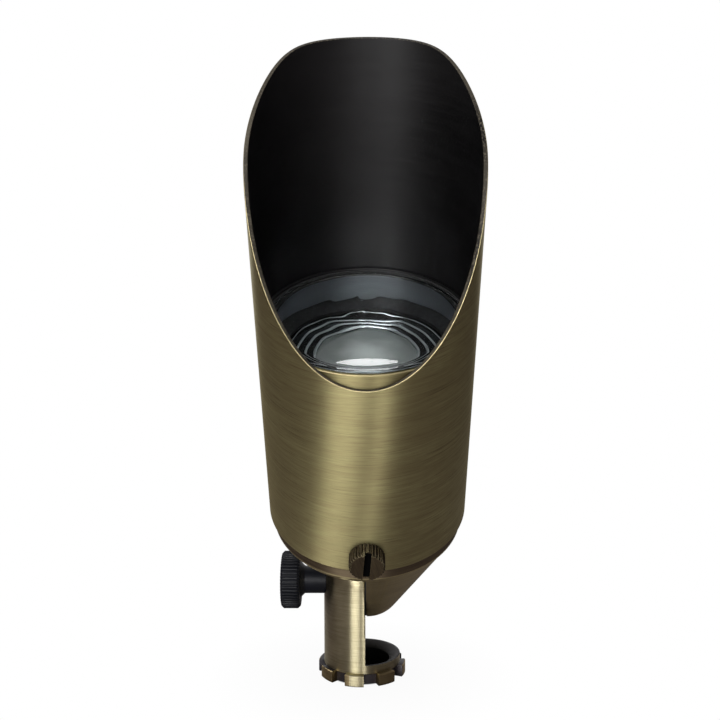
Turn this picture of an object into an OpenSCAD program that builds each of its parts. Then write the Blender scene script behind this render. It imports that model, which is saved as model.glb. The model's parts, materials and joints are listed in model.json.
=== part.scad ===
// Landscape spotlight: a brass bullet head under a scooped glare shroud, held
// by a tilting half-round knuckle on a round base. +Z runs up the stem, the
// head leans towards -Y, and the origin is the centre of the base's underside.

/* [Base and stem] */
// Radius of the half-round stem and of the base ring
stem_r = 13.2; // [12.4:0.1:15]
// Height of the tilt axis above the underside
pivot_h = 32.4; // [30:0.2:50]
// How far the stem's flat stands past the stem's axis
flat_offset = 0.85; // [0.4:0.05:1.5]
// Depth of the shallow relief where the knuckle sweeps the flat
flat_relief = 0.25; // [0.1:0.05:0.5]
// Height of the lower end of that relief
relief_h = 16.4; // [14:0.2:18]
// Height of the rim of the wiring bowl
rim_h = 6.6; // [5:0.1:10]
// Wall left at the rim of the wiring bowl
rim_wall = 0.9; // [0.6:0.1:1.5]
// Depth of the bowl's sloping mouth
bowl_depth = 1.8; // [1:0.1:3]
// Radius of the pipe thread's crests in the base
thread_r = 9.53; // [8:0.01:10]

/* [Grip lugs] */
// Number of lugs round the base
lug_count = 8; // [4:1:12]
// Outside radius over the lugs
lug_r = 15.1; // [15.1:0.1:18]
// Height of the lugs
lug_h = 4; // [2:0.1:5]
// Angle that one lug covers
lug_angle = 25; // [10:1:28]
// How far the ring is set back between the lugs
lug_relief = 0.7; // [0.3:0.1:0.9]
// Angle of the front lug from straight ahead
lug_turn = -10; // [-22:1:22]

/* [Tilt joint] */
// Forward lean of the head
tilt_rest = 30; // [0:1:60]
// Sideways offset of the head's axis from the stem's axis
head_offset = 2; // [1.4:0.1:4]
// Thickness of the friction washer between the flats
washer_t = 0.8; // [0.5:0.1:1.5]
// Outside radius of that washer
washer_r = 12.2; // [8:0.1:12.3]
// Radius of the tilt screw's stud
stud_r = 2.45; // [2:0.05:2.8]
// Length of the stud inside the knuckle
stud_reach = 8; // [5:0.5:9]
// Radius of the knob over its ridges
knob_r = 9.8; // [8:0.1:12]
// Length of the knurled head of the knob
knob_len = 6.5; // [5:0.1:10]
// Number of ridges on the knob
knob_ridges = 50; // [24:1:60]
// Radius of the knob's neck
neck_r = 4.7; // [3.8:0.1:5.5]
// Length of the neck from the stem to the knurled head
neck_len = 9.1; // [6:0.1:14]
// Length of the sloping shoulder behind the knurled head
shoulder_len = 1.5; // [0.5:0.1:2.5]
// How far that shoulder stands out round the neck
shoulder_w = 1.5; // [0.5:0.1:2.5]
// Depth of the spot face that the neck seats on
spot_depth = 1; // [0.6:0.1:2]

/* [Cone and knuckle] */
// Radius of the knuckle's round end
ball_r = 12.5; // [11.8:0.1:14]
// Distance from the tilt axis to the housing's lower edge
cone_len = 31.2; // [30:0.2:45]
// Height of the cone's rim that is left all round above the stem
cone_rim_h = 1.6; // [1:0.1:4]
// Thickness of the shelf that closes the cone above the stem
shelf_wall = 3; // [2:0.1:4]
// Width of the spigot's ring round the cavity
spigot_wall = 8.6; // [7:0.1:10]
// Distance from the tilt axis to the floor of the wiring pocket
pocket_h = 17; // [15:0.2:20]
// Wall between the wiring pocket and the knuckle's flat
pocket_wall = 1.2; // [0.8:0.1:1.4]
// Room round the grommet's flange on the pocket's floor
flange_room = 0.8; // [0.3:0.1:2]
// Height of the spigot that plugs into the housing
spigot_h = 6; // [5:0.1:10]

/* [Cord outlet] */
// Radius of the outlet hole through the knuckle
outlet_r = 2.8; // [2.4:0.1:3]
// Radius of the grommet's bore
grommet_bore_r = 2; // [1.2:0.1:2.2]
// Length of the grommet below the cavity floor
grommet_len = 21; // [10:0.5:22]
// Radius of the grommet's flange
grommet_flange_r = 4; // [3.4:0.1:4.5]
// Thickness of the grommet's flange
grommet_flange_t = 1.2; // [0.8:0.1:2]
// Sideways distance of the outlet from the head's axis
outlet_x = 5.2; // [4:0.1:5.6]
// Distance of the outlet behind the head's axis
outlet_y = 6.4; // [6.2:0.1:6.6]

/* [Housing] */
// Length of the housing from its lower edge to its rim
housing_len = 75.3; // [72:0.1:90]
// Wall of the housing
housing_wall = 2.85; // [2.4:0.05:3.4]
// Height of the band that shows below the shroud
band_h = 5.3; // [4.5:0.1:10]
// Thickness of the housing's floor ring
floor_t = 2.5; // [2:0.1:4]
// Width of the floor ring
floor_w = 9.6; // [9:0.1:12]
// Wall left round the lens seat
seat_wall = 1.15; // [0.8:0.05:1.5]
// Depth of the lens seat
seat_depth = 5; // [4.4:0.1:7]
// Radius of the cord of the shroud's O-rings
ring_cord_r = 0.55; // [0.4:0.05:0.7]
// Distance from the housing's rim to the upper O-ring
ring_drop = 14.5; // [12:0.5:20]
// Distance between the two O-rings
ring_pitch = 12; // [6:0.5:20]

/* [Shroud] */
// Outside radius of the shroud
shroud_r = 31.75; // [31.5:0.25:36]
// Wall of the shroud
shroud_wall = 1.2; // [0.8:0.1:1.4]
// Length of the shroud over its highest point
shroud_len = 139.8; // [120:0.2:180]
// Length of the shroud at the lowest point of the scoop
front_len = 65.8; // [50:0.2:90]
// Height of the scoop's knee as a share of its whole rise
knee_rise_share = 0.703; // [0.5:0.01:0.8]
// Knee's distance behind the axis as a share of the radius
knee_y_share = 0.043; // [-0.2:0.01:0.2]
// Brow's distance behind the axis as a share of the radius
brow_y_share = 0.798; // [0.7:0.01:0.85]
// Radius that rounds the knee
knee_round = 36; // [10:1:50]
// Radius that rounds the brow
brow_round = 16; // [5:1:18]
// Bevel on the shroud's lower edge
edge_bevel = 0.4; // [0.2:0.05:0.5]

/* [Shroud screw] */
// Height of the screw above the shroud's lower edge
thumb_h = 7; // [6:0.1:20]
// Radius of the knurled head
thumb_r = 5.35; // [4:0.05:6]
// Length of the knurled head
thumb_len = 5.2; // [3:0.1:8]
// Number of ridges on the head
thumb_ridges = 30; // [16:1:36]
// Radius of the screw's shank
shank_r = 2.45; // [1.5:0.05:3]
// Width of the driver slot
slot_w = 2; // [0.8:0.1:2.4]
// Depth of the driver slot
slot_depth = 1.4; // [0.6:0.1:2]
// Angle at which the slot stands
slot_turn = 4; // [-45:1:45]

/* [Lens] */
// Thickness of the lens at its edge
lens_edge_t = 3.3; // [2.5:0.1:4]
// Width of the flat margin round the lens
lens_margin = 2.6; // [1.5:0.1:4]
// Rise of the lens above its margin
lens_rise = 5.5; // [3:0.1:8]
// Thickness of the lens at its centre
lens_mid_t = 4.6; // [3:0.1:5]
// Thickness of the gasket under the lens
gasket_t = 1.2; // [0.8:0.1:1.6]
// Thickness of the gasket's lip round the lens
gasket_lip = 0.6; // [0.4:0.05:0.8]

/* [Lamp] */
// Width of the soft ring round the lamp's rim
lamp_ring_w = 2.6; // [2.2:0.1:4]
// Width of the ring's lip over the lamp's face
lamp_lip_w = 2.3; // [1.5:0.1:3]
// Distance from the lamp's base to its face
lamp_len = 38; // [36:0.1:42]
// Number of round ribs pressed into the lamp's cover
cover_ribs = 4; // [2:1:5]
// Distance from one rib to the next
rib_pitch = 2.6; // [1.6:0.1:3]
// Radius of the lamp's neck
lamp_neck_r = 9; // [8:0.1:10]
// Length of the lamp's two pins
pin_len = 7; // [5:0.1:8]
// Radius of the lamp's pins
pin_r = 0.75; // [0.6:0.05:0.9]
// Spacing of the lamp's pins
pin_pitch = 5.3; // [5:0.1:6]
// Radius of the glass capsule
capsule_r = 4; // [3:0.1:4.8]
// Length of the glass capsule
capsule_len = 15; // [10:0.5:18]

/* [Lamp holder] */
// Width of the holder across its pins
socket_w = 15; // [12:0.5:18]
// Depth of the holder from front to back
socket_d = 9.5; // [8:0.5:12]
// Height of the holder
socket_h = 12; // [10:0.5:15]
// Thickness of the bracket's sheet
sheet_t = 1; // [0.8:0.1:1.5]
// Width of the bracket's strip
strip_w = 10; // [8:0.5:12]
// Radius of an insulated lead
lead_r = 0.9; // [0.6:0.05:1.1]

/* [Hidden] */
$fn = 96;

// overrun of every cut past the face it leaves
cut = 1;
// radial clearance of the shroud on the housing
slide_gap = 0.1;
// radial clearance of a stud or shank in its hole
stud_gap = 0.05;
// clearance between two parts that are pressed or plugged together
seat_gap = 0.05;
// clearance round an O-ring's cord
cord_gap = 0.1;

// small bevels of the turned parts
base_bevel = 0.4;
lug_bevel = 0.3;
knob_bevel = 0.8;
thumb_bevel = 0.4;
rim_bevel = 0.3;
foot_bevel = 0.6;
// depth of the ridges on the two knurled heads
knob_ridge_depth = 0.5;
thumb_ridge_depth = 0.4;
// recess in the knob's outer face
dish_depth = 0.6;
dish_r = knob_r - 2.6 * knob_bevel;
// radial room between the neck and its spot face
spot_room = 0.5;
// distance of the stud's end from the knob's outer face
stud_cover = 2.5;

// the ring between the lugs: its radius, and the height where the collar stands out over it
core_r = stem_r - lug_relief;
relief_top = lug_h - 1.5 * lug_bevel;

// places along the stem's X axis
flat_x = flat_offset;
relief_x = flat_x + flat_relief;
knuckle_x = flat_x + washer_t;
spot_x = -stem_r + spot_depth;
head_x = spot_x - neck_len;
knob_end_x = head_x - knob_len;
// the knuckle's flat in the head's own frame
face_x = knuckle_x - head_offset;

// radii that follow the shroud
shroud_in_r = shroud_r - shroud_wall;
housing_r = shroud_in_r - slide_gap;
bore_r = housing_r - housing_wall;
seat_r = housing_r - seat_wall;
floor_hole_r = bore_r - floor_w;
cavity_r = bore_r - spigot_wall;
pocket_r = norm([outlet_x, outlet_y]) + grommet_flange_r + flange_room;
lamp_r = bore_r - lamp_ring_w;

// heights along the head's axis, from the tilt axis
spigot_z = cone_len + spigot_h;
floor_z = spigot_z + floor_t;
shroud_z = cone_len + band_h;
rim_z = cone_len + housing_len;
seat_z = rim_z - seat_depth;
shelf_z = cone_len - cone_rim_h;
cavity_z = shelf_z + shelf_wall;

// the tangent from the housing's lower edge to the knuckle's round end
edge_reach = norm([housing_r, cone_len]);
tangent_turn = atan2(cone_len, housing_r) + asin(ball_r / edge_reach) - 90;

// O-ring between cone and housing
seal_cord_r = 0.65;
seal_z = cone_len + spigot_h / 2;
seal_floor_r = bore_r - 2 * seal_cord_r - 2 * cord_gap;
seal_mid_r = bore_r - cord_gap - seal_cord_r;
seal_groove_w = 2 * seal_cord_r + 4 * cord_gap;
// O-rings between housing and shroud
ring_mid_r = housing_r - cord_gap - ring_cord_r;
ring_floor_r = ring_mid_r - ring_cord_r - cord_gap;
ring_groove_w = 2 * ring_cord_r + 4 * cord_gap;
ring_zs = [rim_z - ring_drop, rim_z - ring_drop - ring_pitch];

// small screws inside the housing
m3_shank_r = 1.45;
m3_hole_r = 1.5;
m3_head_r = 2.6;
m3_head_h = 1.8;
m3_slot_w = 0.8;
m3_slot_depth = 0.9;
cone_screw_reach = 8;
cone_screw_count = 3;
cone_screw_ring_r = (floor_hole_r + bore_r) / 2;

// lens and gasket
lens_z = seat_z + gasket_t + seat_gap;
lens_r = seat_r - gasket_lip - 2 * seat_gap;
lens_top_z = lens_z + lens_edge_t;
dome_r = lens_r - lens_margin;
gasket_in_r = bore_r - 0.8 * gasket_t;
dome_steps = 20;

// lamp, stacked up from the holder
bridge_z = floor_z + 4.3 * sheet_t;
socket_z = bridge_z + sheet_t;
lamp_base_z = socket_z + socket_h + seat_gap;
lamp_face_z = lamp_base_z + lamp_len;
lamp_block_h = 9;
lamp_block_d = 8.5;
lamp_neck_z = lamp_base_z + lamp_block_h;
lamp_neck_h = 6;
lamp_bore_r = 6;
lamp_rim_t = 2.5;
glass_t = 1.2;
lamp_ring_h = 3.5;
lamp_lip_t = 0.8;
lamp_lip_r = lamp_r - lamp_lip_w;
pin_hole_r = pin_r + seat_gap;
dish_steps = 14;
dish_foot_z = lamp_neck_z + lamp_neck_h;
cover_t = 1.1;
cover_z = lamp_face_z - cover_t - glass_t / 4;
cover_r = lamp_r - glass_t;
rib_r = 0.5;
rib_steps = 4;
rib_out_r = lamp_lip_r - seat_gap - rib_r;

// bracket under the lamp holder
leg_x = floor_hole_r + 0.5 * sheet_t;
foot_end_x = bore_r - sheet_t;
foot_screw_x = (leg_x + foot_end_x) / 2 + sheet_t / 2;
lead_hole_r = 4.2 * lead_r;

// leads: start under the holder, end over the outlet, sag between
lead_spread = pin_pitch / 2;
lead_end_spread = 1.25 * lead_r;
lead_end_z = pocket_h + grommet_flange_t + 2 * lead_r;
lead_mid_z = cavity_z + 4 * lead_r;
lead_steps = 16;
lead_sides = 10;

// colours
brass = [0.50, 0.44, 0.26];
dark_brass = [0.30, 0.25, 0.17];
black = [0.08, 0.08, 0.10];
steel = [0.66, 0.66, 0.68];
clear = [0.80, 0.88, 0.92, 0.45];
ceramic = [0.88, 0.86, 0.80];

// stands its children in the head's frame: tilt axis at the origin, +Z forward
module in_head() {
    translate([head_offset, 0, pivot_h]) rotate([tilt_rest, 0, 0]) children();
}

// a cylinder that lies along +X from x0 to x1
module bar_x(x0, x1, r) {
    translate([x0, 0, 0]) rotate([0, 90, 0]) cylinder(h = x1 - x0, r = r);
}

function unit(v) = v / norm(v);

// points of the arc of radius r that rounds the corner a-b-c
function corner_arc(a, b, c, r, steps) =
    let (u = unit(a - b), v = unit(c - b), half = acos(u * v) / 2,
         reach = r / tan(half), p = b + u * reach, q = b + v * reach,
         o = b + unit(u + v) * r / sin(half))
    [for (i = [0:steps]) o + r * unit((p - o) * (1 - i / steps) + (q - o) * i / steps)];

// points on a circle of radius r round o, from turn a0 to turn a1
function arc_points(o, r, a0, a1, steps) =
    [for (i = [0:steps]) let (a = a0 + (a1 - a0) * i / steps) o + r * [cos(a), sin(a)]];

// outline of a knurled cylinder: flat-topped ridges with sloping flanks
ridge_shares = [[0, 0], [0.2, 1], [0.6, 1], [0.8, 0]];
function ridge_outline(r, depth, count) =
    [for (i = [0:count - 1]) for (s = ridge_shares)
        let (a = (i + s[0]) * 360 / count, q = r - depth * (1 - s[1])) q * [cos(a), sin(a)]];

// a knurled disc from z = 0 to z = h with both rims bevelled
module knurled_disc(r, h, depth, count, bevel) {
    intersection() {
        translate([0, 0, -cut]) linear_extrude(height = h + 2 * cut) polygon(ridge_outline(r, depth, count));
        rotate_extrude() polygon([
            [0, 0], [r - bevel, 0], [r + bevel, 2 * bevel], [r + bevel, h - 2 * bevel], [r - bevel, h], [0, h]
        ]);
    }
}

// a torus round Z at height z
module cord_ring(mid_r, cord_r, z) {
    translate([0, 0, z]) rotate_extrude() translate([mid_r, 0]) circle(r = cord_r, $fn = 24);
}

// pan-head screw with its head's underside at z = 0
module pan_screw(reach) {
    difference() {
        union() {
            translate([0, 0, -reach]) cylinder(h = reach, r = m3_shank_r, $fn = 32);
            cylinder(h = m3_head_h, r = m3_head_r, $fn = 48);
        }
        translate([-m3_head_r - cut, -m3_slot_w / 2, m3_head_h - m3_slot_depth])
            cube([2 * (m3_head_r + cut), m3_slot_w, m3_slot_depth + cut]);
    }
}

// one grip lug, centred on the front before it is turned to its place
module lug() {
    rotate([0, 0, -90 - lug_angle / 2]) rotate_extrude(angle = lug_angle)
        polygon([
            [core_r - cut, 0], [lug_r - lug_bevel, 0], [lug_r, lug_bevel],
            [lug_r, lug_h - lug_bevel], [lug_r - lug_bevel, lug_h], [core_r - cut, lug_h]
        ]);
}

// half-round upright with a domed top, its ringed base and the wiring bowl
module stem() {
    bowl_r = stem_r - rim_wall;
    color(brass) difference() {
        union() {
            rotate_extrude() polygon([
                [0, 0], [core_r - base_bevel, 0], [core_r, base_bevel], [core_r, relief_top],
                [stem_r - lug_bevel, relief_top], [stem_r, relief_top + lug_bevel], [stem_r, rim_h], [0, rim_h]
            ]);
            intersection() {
                union() {
                    cylinder(h = pivot_h, r = stem_r);
                    translate([0, 0, pivot_h]) sphere(r = stem_r);
                }
                translate([-2 * stem_r, -2 * stem_r, (lug_h + rim_h) / 2])
                    cube([2 * stem_r + relief_x, 4 * stem_r, pivot_h + 2 * stem_r]);
            }
            for (i = [0:lug_count - 1]) rotate([0, 0, lug_turn + i * 360 / lug_count]) lug();
        }
        // relief where the knuckle sweeps
        translate([flat_x, -2 * stem_r, relief_h]) cube([2 * stem_r, 4 * stem_r, pivot_h + stem_r]);
        // threaded hole from below, blind under the upright
        translate([0, 0, -cut]) cylinder(h = rim_h - bowl_depth + cut, r = thread_r);
        // the bowl's sloping mouth, open on the side away from the upright
        intersection() {
            translate([0, 0, rim_h - bowl_depth]) rotate_extrude() polygon([
                [0, -seat_gap], [thread_r, -seat_gap], [thread_r, 0], [bowl_r, bowl_depth],
                [bowl_r, bowl_depth + cut], [0, bowl_depth + cut]
            ]);
            translate([relief_x, -2 * stem_r, 0]) cube([4 * stem_r, 4 * stem_r, rim_h + cut]);
        }
        translate([0, 0, pivot_h]) {
            bar_x(-stem_r - cut, relief_x + cut, stud_r + stud_gap);
            bar_x(-stem_r - cut, spot_x, neck_r + spot_room);
        }
    }
}

// friction washer between the stem's flat and the knuckle's flat
module pivot_washer() {
    color(black) translate([0, 0, pivot_h]) difference() {
        bar_x(flat_x, knuckle_x, washer_r);
        bar_x(flat_x - cut, knuckle_x + cut, stud_r + 2 * stud_gap);
    }
}

// black knob: knurled head, sloping shoulder and a neck that seats on the stem
module tilt_knob() {
    color(black) translate([0, 0, pivot_h]) difference() {
        union() {
            translate([knob_end_x, 0, 0]) rotate([0, 90, 0])
                knurled_disc(knob_r, knob_len, knob_ridge_depth, knob_ridges, knob_bevel);
            translate([head_x, 0, 0]) rotate([0, 90, 0]) rotate_extrude() polygon([
                [0, -cut], [neck_r + shoulder_w, -cut], [neck_r + shoulder_w, 0],
                [neck_r, shoulder_len], [neck_r, neck_len], [0, neck_len]
            ]);
        }
        bar_x(knob_end_x + stud_cover, spot_x + cut, stud_r + seat_gap);
        bar_x(knob_end_x - cut, knob_end_x + dish_depth, dish_r);
    }
}

// steel stud fixed in the knob, through the stem and into the knuckle
module tilt_screw() {
    color(steel) translate([0, 0, pivot_h]) rotate([0, 90, 0]) rotate_extrude() polygon([
        [0, knob_end_x + stud_cover], [stud_r, knob_end_x + stud_cover],
        [stud_r, knuckle_x + stud_reach - base_bevel],
        [stud_r - base_bevel, knuckle_x + stud_reach], [0, knuckle_x + stud_reach]
    ]);
}

// half-round pocket for the wiring, from the cavity down to the grommet
module wiring_pocket() {
    intersection() {
        rotate_extrude() polygon([
            [0, pocket_h], [pocket_r, pocket_h], [cavity_r, cone_len], [cavity_r, cavity_z + cut], [0, cavity_z + cut]
        ]);
        translate([face_x + pocket_wall, -2 * cavity_r, pocket_h - cut])
            cube([2 * cavity_r, 4 * cavity_r, 2 * cone_len]);
    }
}

// plate that closes the housing, with half a cone under it that ends in the knuckle's half ball
module rear_cone() {
    spigot_r = bore_r - seat_gap;
    color(brass) in_head() difference() {
        rotate_extrude() polygon(concat(
            arc_points([0, 0], ball_r, -90, tangent_turn, 16),
            [
                [housing_r - foot_bevel, cone_len], [spigot_r, cone_len],
                [spigot_r, seal_z - seal_groove_w / 2], [seal_floor_r, seal_z - seal_groove_w / 2],
                [seal_floor_r, seal_z + seal_groove_w / 2], [spigot_r, seal_z + seal_groove_w / 2],
                [spigot_r, spigot_z], [cavity_r, spigot_z], [cavity_r, cavity_z], [0, cavity_z]
            ]));
        wiring_pocket();
        // room for the stem: everything left of the knuckle's flat, below the shelf
        translate([face_x - 2 * housing_r, -2 * housing_r, shelf_z - 2 * cone_len])
            cube([2 * housing_r, 4 * housing_r, 2 * cone_len]);
        bar_x(face_x - cut, face_x + stud_reach + cut, stud_r + stud_gap);
        translate([outlet_x, outlet_y, -ball_r - cut]) cylinder(h = pocket_h + ball_r + 2 * cut, r = outlet_r);
        for (i = [0:cone_screw_count - 1]) rotate([0, 0, 90 + i * 360 / cone_screw_count])
            translate([cone_screw_ring_r, 0, floor_z - cone_screw_reach - cut])
                cylinder(h = cone_screw_reach + 2 * cut, r = m3_hole_r, $fn = 32);
    }
}

// O-ring in the spigot's groove
module cone_seal() {
    color(black) in_head() cord_ring(seal_mid_r, seal_cord_r, seal_z);
}

// three screws down through the housing's floor ring into the cone
module cone_screws() {
    color(steel) in_head() for (i = [0:cone_screw_count - 1])
        rotate([0, 0, 90 + i * 360 / cone_screw_count])
            translate([cone_screw_ring_r, 0, floor_z]) pan_screw(cone_screw_reach);
}

// rubber sleeve in the cord outlet, with its flange on the pocket's floor
module cord_grommet() {
    sleeve_r = outlet_r - seat_gap;
    color(black) in_head() translate([outlet_x, outlet_y, pocket_h]) difference() {
        union() {
            translate([0, 0, -grommet_len]) cylinder(h = grommet_len + cut / 2, r = sleeve_r, $fn = 48);
            cylinder(h = grommet_flange_t, r = grommet_flange_r, $fn = 48);
        }
        translate([0, 0, -grommet_len - cut])
            cylinder(h = grommet_len + grommet_flange_t + 2 * cut, r = grommet_bore_r, $fn = 48);
    }
}

// turned housing: socket for the spigot, floor ring, lamp bore and lens seat
module housing() {
    color(brass) in_head() difference() {
        rotate_extrude() polygon(concat(
            [
                [bore_r, cone_len], [housing_r - foot_bevel, cone_len], [housing_r, cone_len + foot_bevel]
            ],
            [for (i = [1:-1:0]) for (p = [[0, -1], [1, -1], [1, 1], [0, 1]])
                [p[0] == 1 ? ring_floor_r : housing_r, ring_zs[i] + p[1] * ring_groove_w / 2]],
            [
                [housing_r, rim_z - rim_bevel], [housing_r - rim_bevel, rim_z],
                [seat_r, rim_z], [seat_r, seat_z], [bore_r, seat_z],
                [bore_r, floor_z], [floor_hole_r, floor_z], [floor_hole_r, spigot_z], [bore_r, spigot_z]
            ]));
        for (i = [0:cone_screw_count - 1]) rotate([0, 0, 90 + i * 360 / cone_screw_count])
            translate([cone_screw_ring_r, 0, spigot_z - cut])
                cylinder(h = floor_t + 2 * cut, r = m3_hole_r, $fn = 32);
        for (s = [-1, 1]) translate([s * foot_screw_x, 0, spigot_z - cut])
            cylinder(h = floor_t + 2 * cut, r = m3_hole_r, $fn = 32);
    }
}

// black ring with a base under the lens and a lip round its edge
module lens_gasket() {
    outer_r = seat_r - seat_gap;
    color(black) in_head() rotate_extrude() polygon([
        [gasket_in_r, seat_z], [outer_r, seat_z], [outer_r, lens_top_z],
        [outer_r - gasket_lip, lens_top_z], [outer_r - gasket_lip, seat_z + gasket_t],
        [gasket_in_r, seat_z + gasket_t]
    ]);
}

// thick convex glass with a flat margin
module lens() {
    top_ball = (dome_r * dome_r + lens_rise * lens_rise) / (2 * lens_rise);
    top_half = asin(dome_r / top_ball);
    hollow_rise = lens_edge_t + lens_rise - lens_mid_t;
    low_ball = (dome_r * dome_r + hollow_rise * hollow_rise) / (2 * hollow_rise);
    low_half = asin(dome_r / low_ball);
    color(clear) in_head() rotate_extrude() polygon(concat(
        arc_points([0, lens_z + hollow_rise - low_ball], low_ball, 90, 90 - low_half, dome_steps),
        [[lens_r - rim_bevel, lens_z], [lens_r, lens_z + rim_bevel],
         [lens_r, lens_top_z - rim_bevel], [lens_r - rim_bevel, lens_top_z]],
        arc_points([0, lens_top_z + lens_rise - top_ball], top_ball, 90 - top_half, 90, dome_steps)
    ));
}

// soft ring that centres the lamp's rim in the housing, with a lip over its face
module lamp_ring() {
    color(black) in_head() translate([0, 0, lamp_face_z]) rotate_extrude() polygon([
        [lamp_r + seat_gap, -lamp_ring_h], [bore_r - seat_gap, -lamp_ring_h],
        [bore_r - seat_gap, lamp_lip_t], [lamp_lip_r, lamp_lip_t],
        [lamp_lip_r, seat_gap], [lamp_r + seat_gap, seat_gap]
    ]);
}

// radius of the reflector's inner face at height z: a parabola from neck to face
function dish_in_r(z) =
    let (rise = (cover_r / lamp_bore_r) * (cover_r / lamp_bore_r),
         vertex = (dish_foot_z * rise - cover_z) / (rise - 1))
    cover_r * sqrt((z - vertex) / (cover_z - vertex));

// glass reflector with its neck
module lamp_reflector() {
    steps = [for (i = [0:dish_steps]) dish_foot_z + (cover_z - dish_foot_z) * i * i / (dish_steps * dish_steps)];
    last = dish_steps - 1;
    color(steel) in_head() rotate_extrude() polygon(concat(
        [[lamp_bore_r, lamp_neck_z], [lamp_neck_r, lamp_neck_z]],
        [for (i = [1:last]) if (dish_in_r(steps[i]) + glass_t > lamp_neck_r)
            [dish_in_r(steps[i]) + glass_t, steps[i] - glass_t / 2]],
        [[lamp_r, lamp_face_z - lamp_rim_t], [lamp_r, lamp_face_z], [cover_r + seat_gap, lamp_face_z],
         [cover_r + seat_gap, cover_z], [cover_r - glass_t / 2, cover_z]],
        [for (i = [last:-1:0]) [dish_in_r(steps[i]), steps[i]]]
    ));
}

// pressed cover glass in the reflector's rim: a plain middle inside round ribs
module lamp_cover() {
    color(clear) in_head() translate([0, 0, cover_z]) rotate_extrude() polygon(concat(
        [[0, 0], [cover_r, 0], [cover_r, cover_t]],
        [for (i = [0:cover_ribs - 1]) each
            arc_points([rib_out_r - i * rib_pitch, cover_t], rib_r, 0, 180, rib_steps)],
        [[0, cover_t]]
    ));
}

// glass capsule that stands in the reflector's neck
module lamp_capsule() {
    color(clear) in_head() translate([0, 0, lamp_neck_z]) {
        cylinder(h = capsule_len - capsule_r, r = capsule_r, $fn = 48);
        translate([0, 0, capsule_len - capsule_r]) sphere(r = capsule_r, $fn = 48);
    }
}

// ceramic base block of the lamp, rounded at its ends
module lamp_base() {
    color(ceramic) in_head() translate([0, 0, lamp_base_z]) intersection() {
        cylinder(h = lamp_block_h, r = lamp_neck_r);
        translate([-lamp_neck_r, -lamp_block_d / 2, 0]) cube([2 * lamp_neck_r, lamp_block_d, lamp_block_h]);
    }
}

// two contact pins of the lamp
module lamp_pins() {
    color(steel) in_head() for (s = [-1, 1])
        translate([s * pin_pitch / 2, 0, lamp_base_z - pin_len]) cylinder(h = pin_len, r = pin_r, $fn = 24);
}

// ceramic holder with two pin holes
module lamp_socket() {
    color(ceramic) in_head() translate([0, 0, socket_z]) difference() {
        translate([-socket_w / 2, -socket_d / 2, 0]) cube([socket_w, socket_d, socket_h]);
        for (s = [-1, 1]) translate([s * pin_pitch / 2, 0, socket_h - pin_len - cut])
            cylinder(h = pin_len + 2 * cut, r = pin_hole_r, $fn = 24);
    }
}

// bent steel bridge: two feet on the floor ring, two legs and a top plate
module socket_bracket() {
    top_z = socket_z;
    color(steel) in_head() difference() {
        rotate([90, 0, 0]) linear_extrude(height = strip_w, center = true) polygon([
            [-foot_end_x, floor_z], [-leg_x + sheet_t, floor_z], [-leg_x + sheet_t, top_z - sheet_t],
            [leg_x - sheet_t, top_z - sheet_t], [leg_x - sheet_t, floor_z], [foot_end_x, floor_z],
            [foot_end_x, floor_z + sheet_t], [leg_x, floor_z + sheet_t], [leg_x, top_z],
            [-leg_x, top_z], [-leg_x, floor_z + sheet_t], [-foot_end_x, floor_z + sheet_t]
        ]);
        for (s = [-1, 1]) translate([s * foot_screw_x, 0, floor_z - cut])
            cylinder(h = sheet_t + 2 * cut, r = m3_hole_r, $fn = 32);
        translate([0, 0, top_z - sheet_t - cut]) cylinder(h = sheet_t + 2 * cut, r = lead_hole_r, $fn = 32);
    }
}

// two screws through the bridge's feet
module socket_screws() {
    color(steel) in_head() for (s = [-1, 1])
        translate([s * foot_screw_x, 0, floor_z + sheet_t]) pan_screw(floor_t + sheet_t);
}

// a point of a lead's middle line, t from 0 to 1, s = -1 or 1 for the side
function lead_point(s, t) =
    let (a = [s * lead_spread, 0, socket_z - seat_gap],
         b = [s * lead_spread, 0, lead_mid_z],
         c = [outlet_x + s * lead_end_spread, outlet_y, lead_mid_z],
         d = [outlet_x + s * lead_end_spread, outlet_y, lead_end_z],
         u = 1 - t)
    u * u * u * a + 3 * u * u * t * b + 3 * u * t * t * c + t * t * t * d;

// two insulated leads from the holder down to the outlet
module lamp_leads() {
    for (s = [-1, 1]) {
        rings = [for (i = [0:lead_steps]) for (k = [0:lead_sides - 1])
            let (a = 360 * k / lead_sides,
                 p = lead_point(s, i / lead_steps),
                 q = i == 0 || i == lead_steps ? [0, 0, -1]
                     : unit(lead_point(s, (i + 1) / lead_steps) - lead_point(s, (i - 1) / lead_steps)),
                 side = unit(cross([0, 1, 0], q)), up = cross(q, side))
            p + lead_r * (cos(a) * side + sin(a) * up)];
        walls = [for (i = [0:lead_steps - 1]) for (k = [0:lead_sides - 1])
            let (n = (k + 1) % lead_sides, o = i * lead_sides)
            each [[o + k, o + lead_sides + k, o + n], [o + n, o + lead_sides + k, o + lead_sides + n]]];
        first_end = [for (k = [0:lead_sides - 1]) k];
        last_end = [for (k = [lead_sides - 1:-1:0]) lead_steps * lead_sides + k];
        color(s < 0 ? black : dark_brass) in_head()
            polyhedron(points = rings, faces = concat(walls, [first_end, last_end]));
    }
}

// two O-rings in the housing's grooves, which the shroud turns and slides on
module shroud_o_rings() {
    color(black) in_head() for (z = ring_zs) cord_ring(ring_mid_r, ring_cord_r, z);
}

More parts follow.
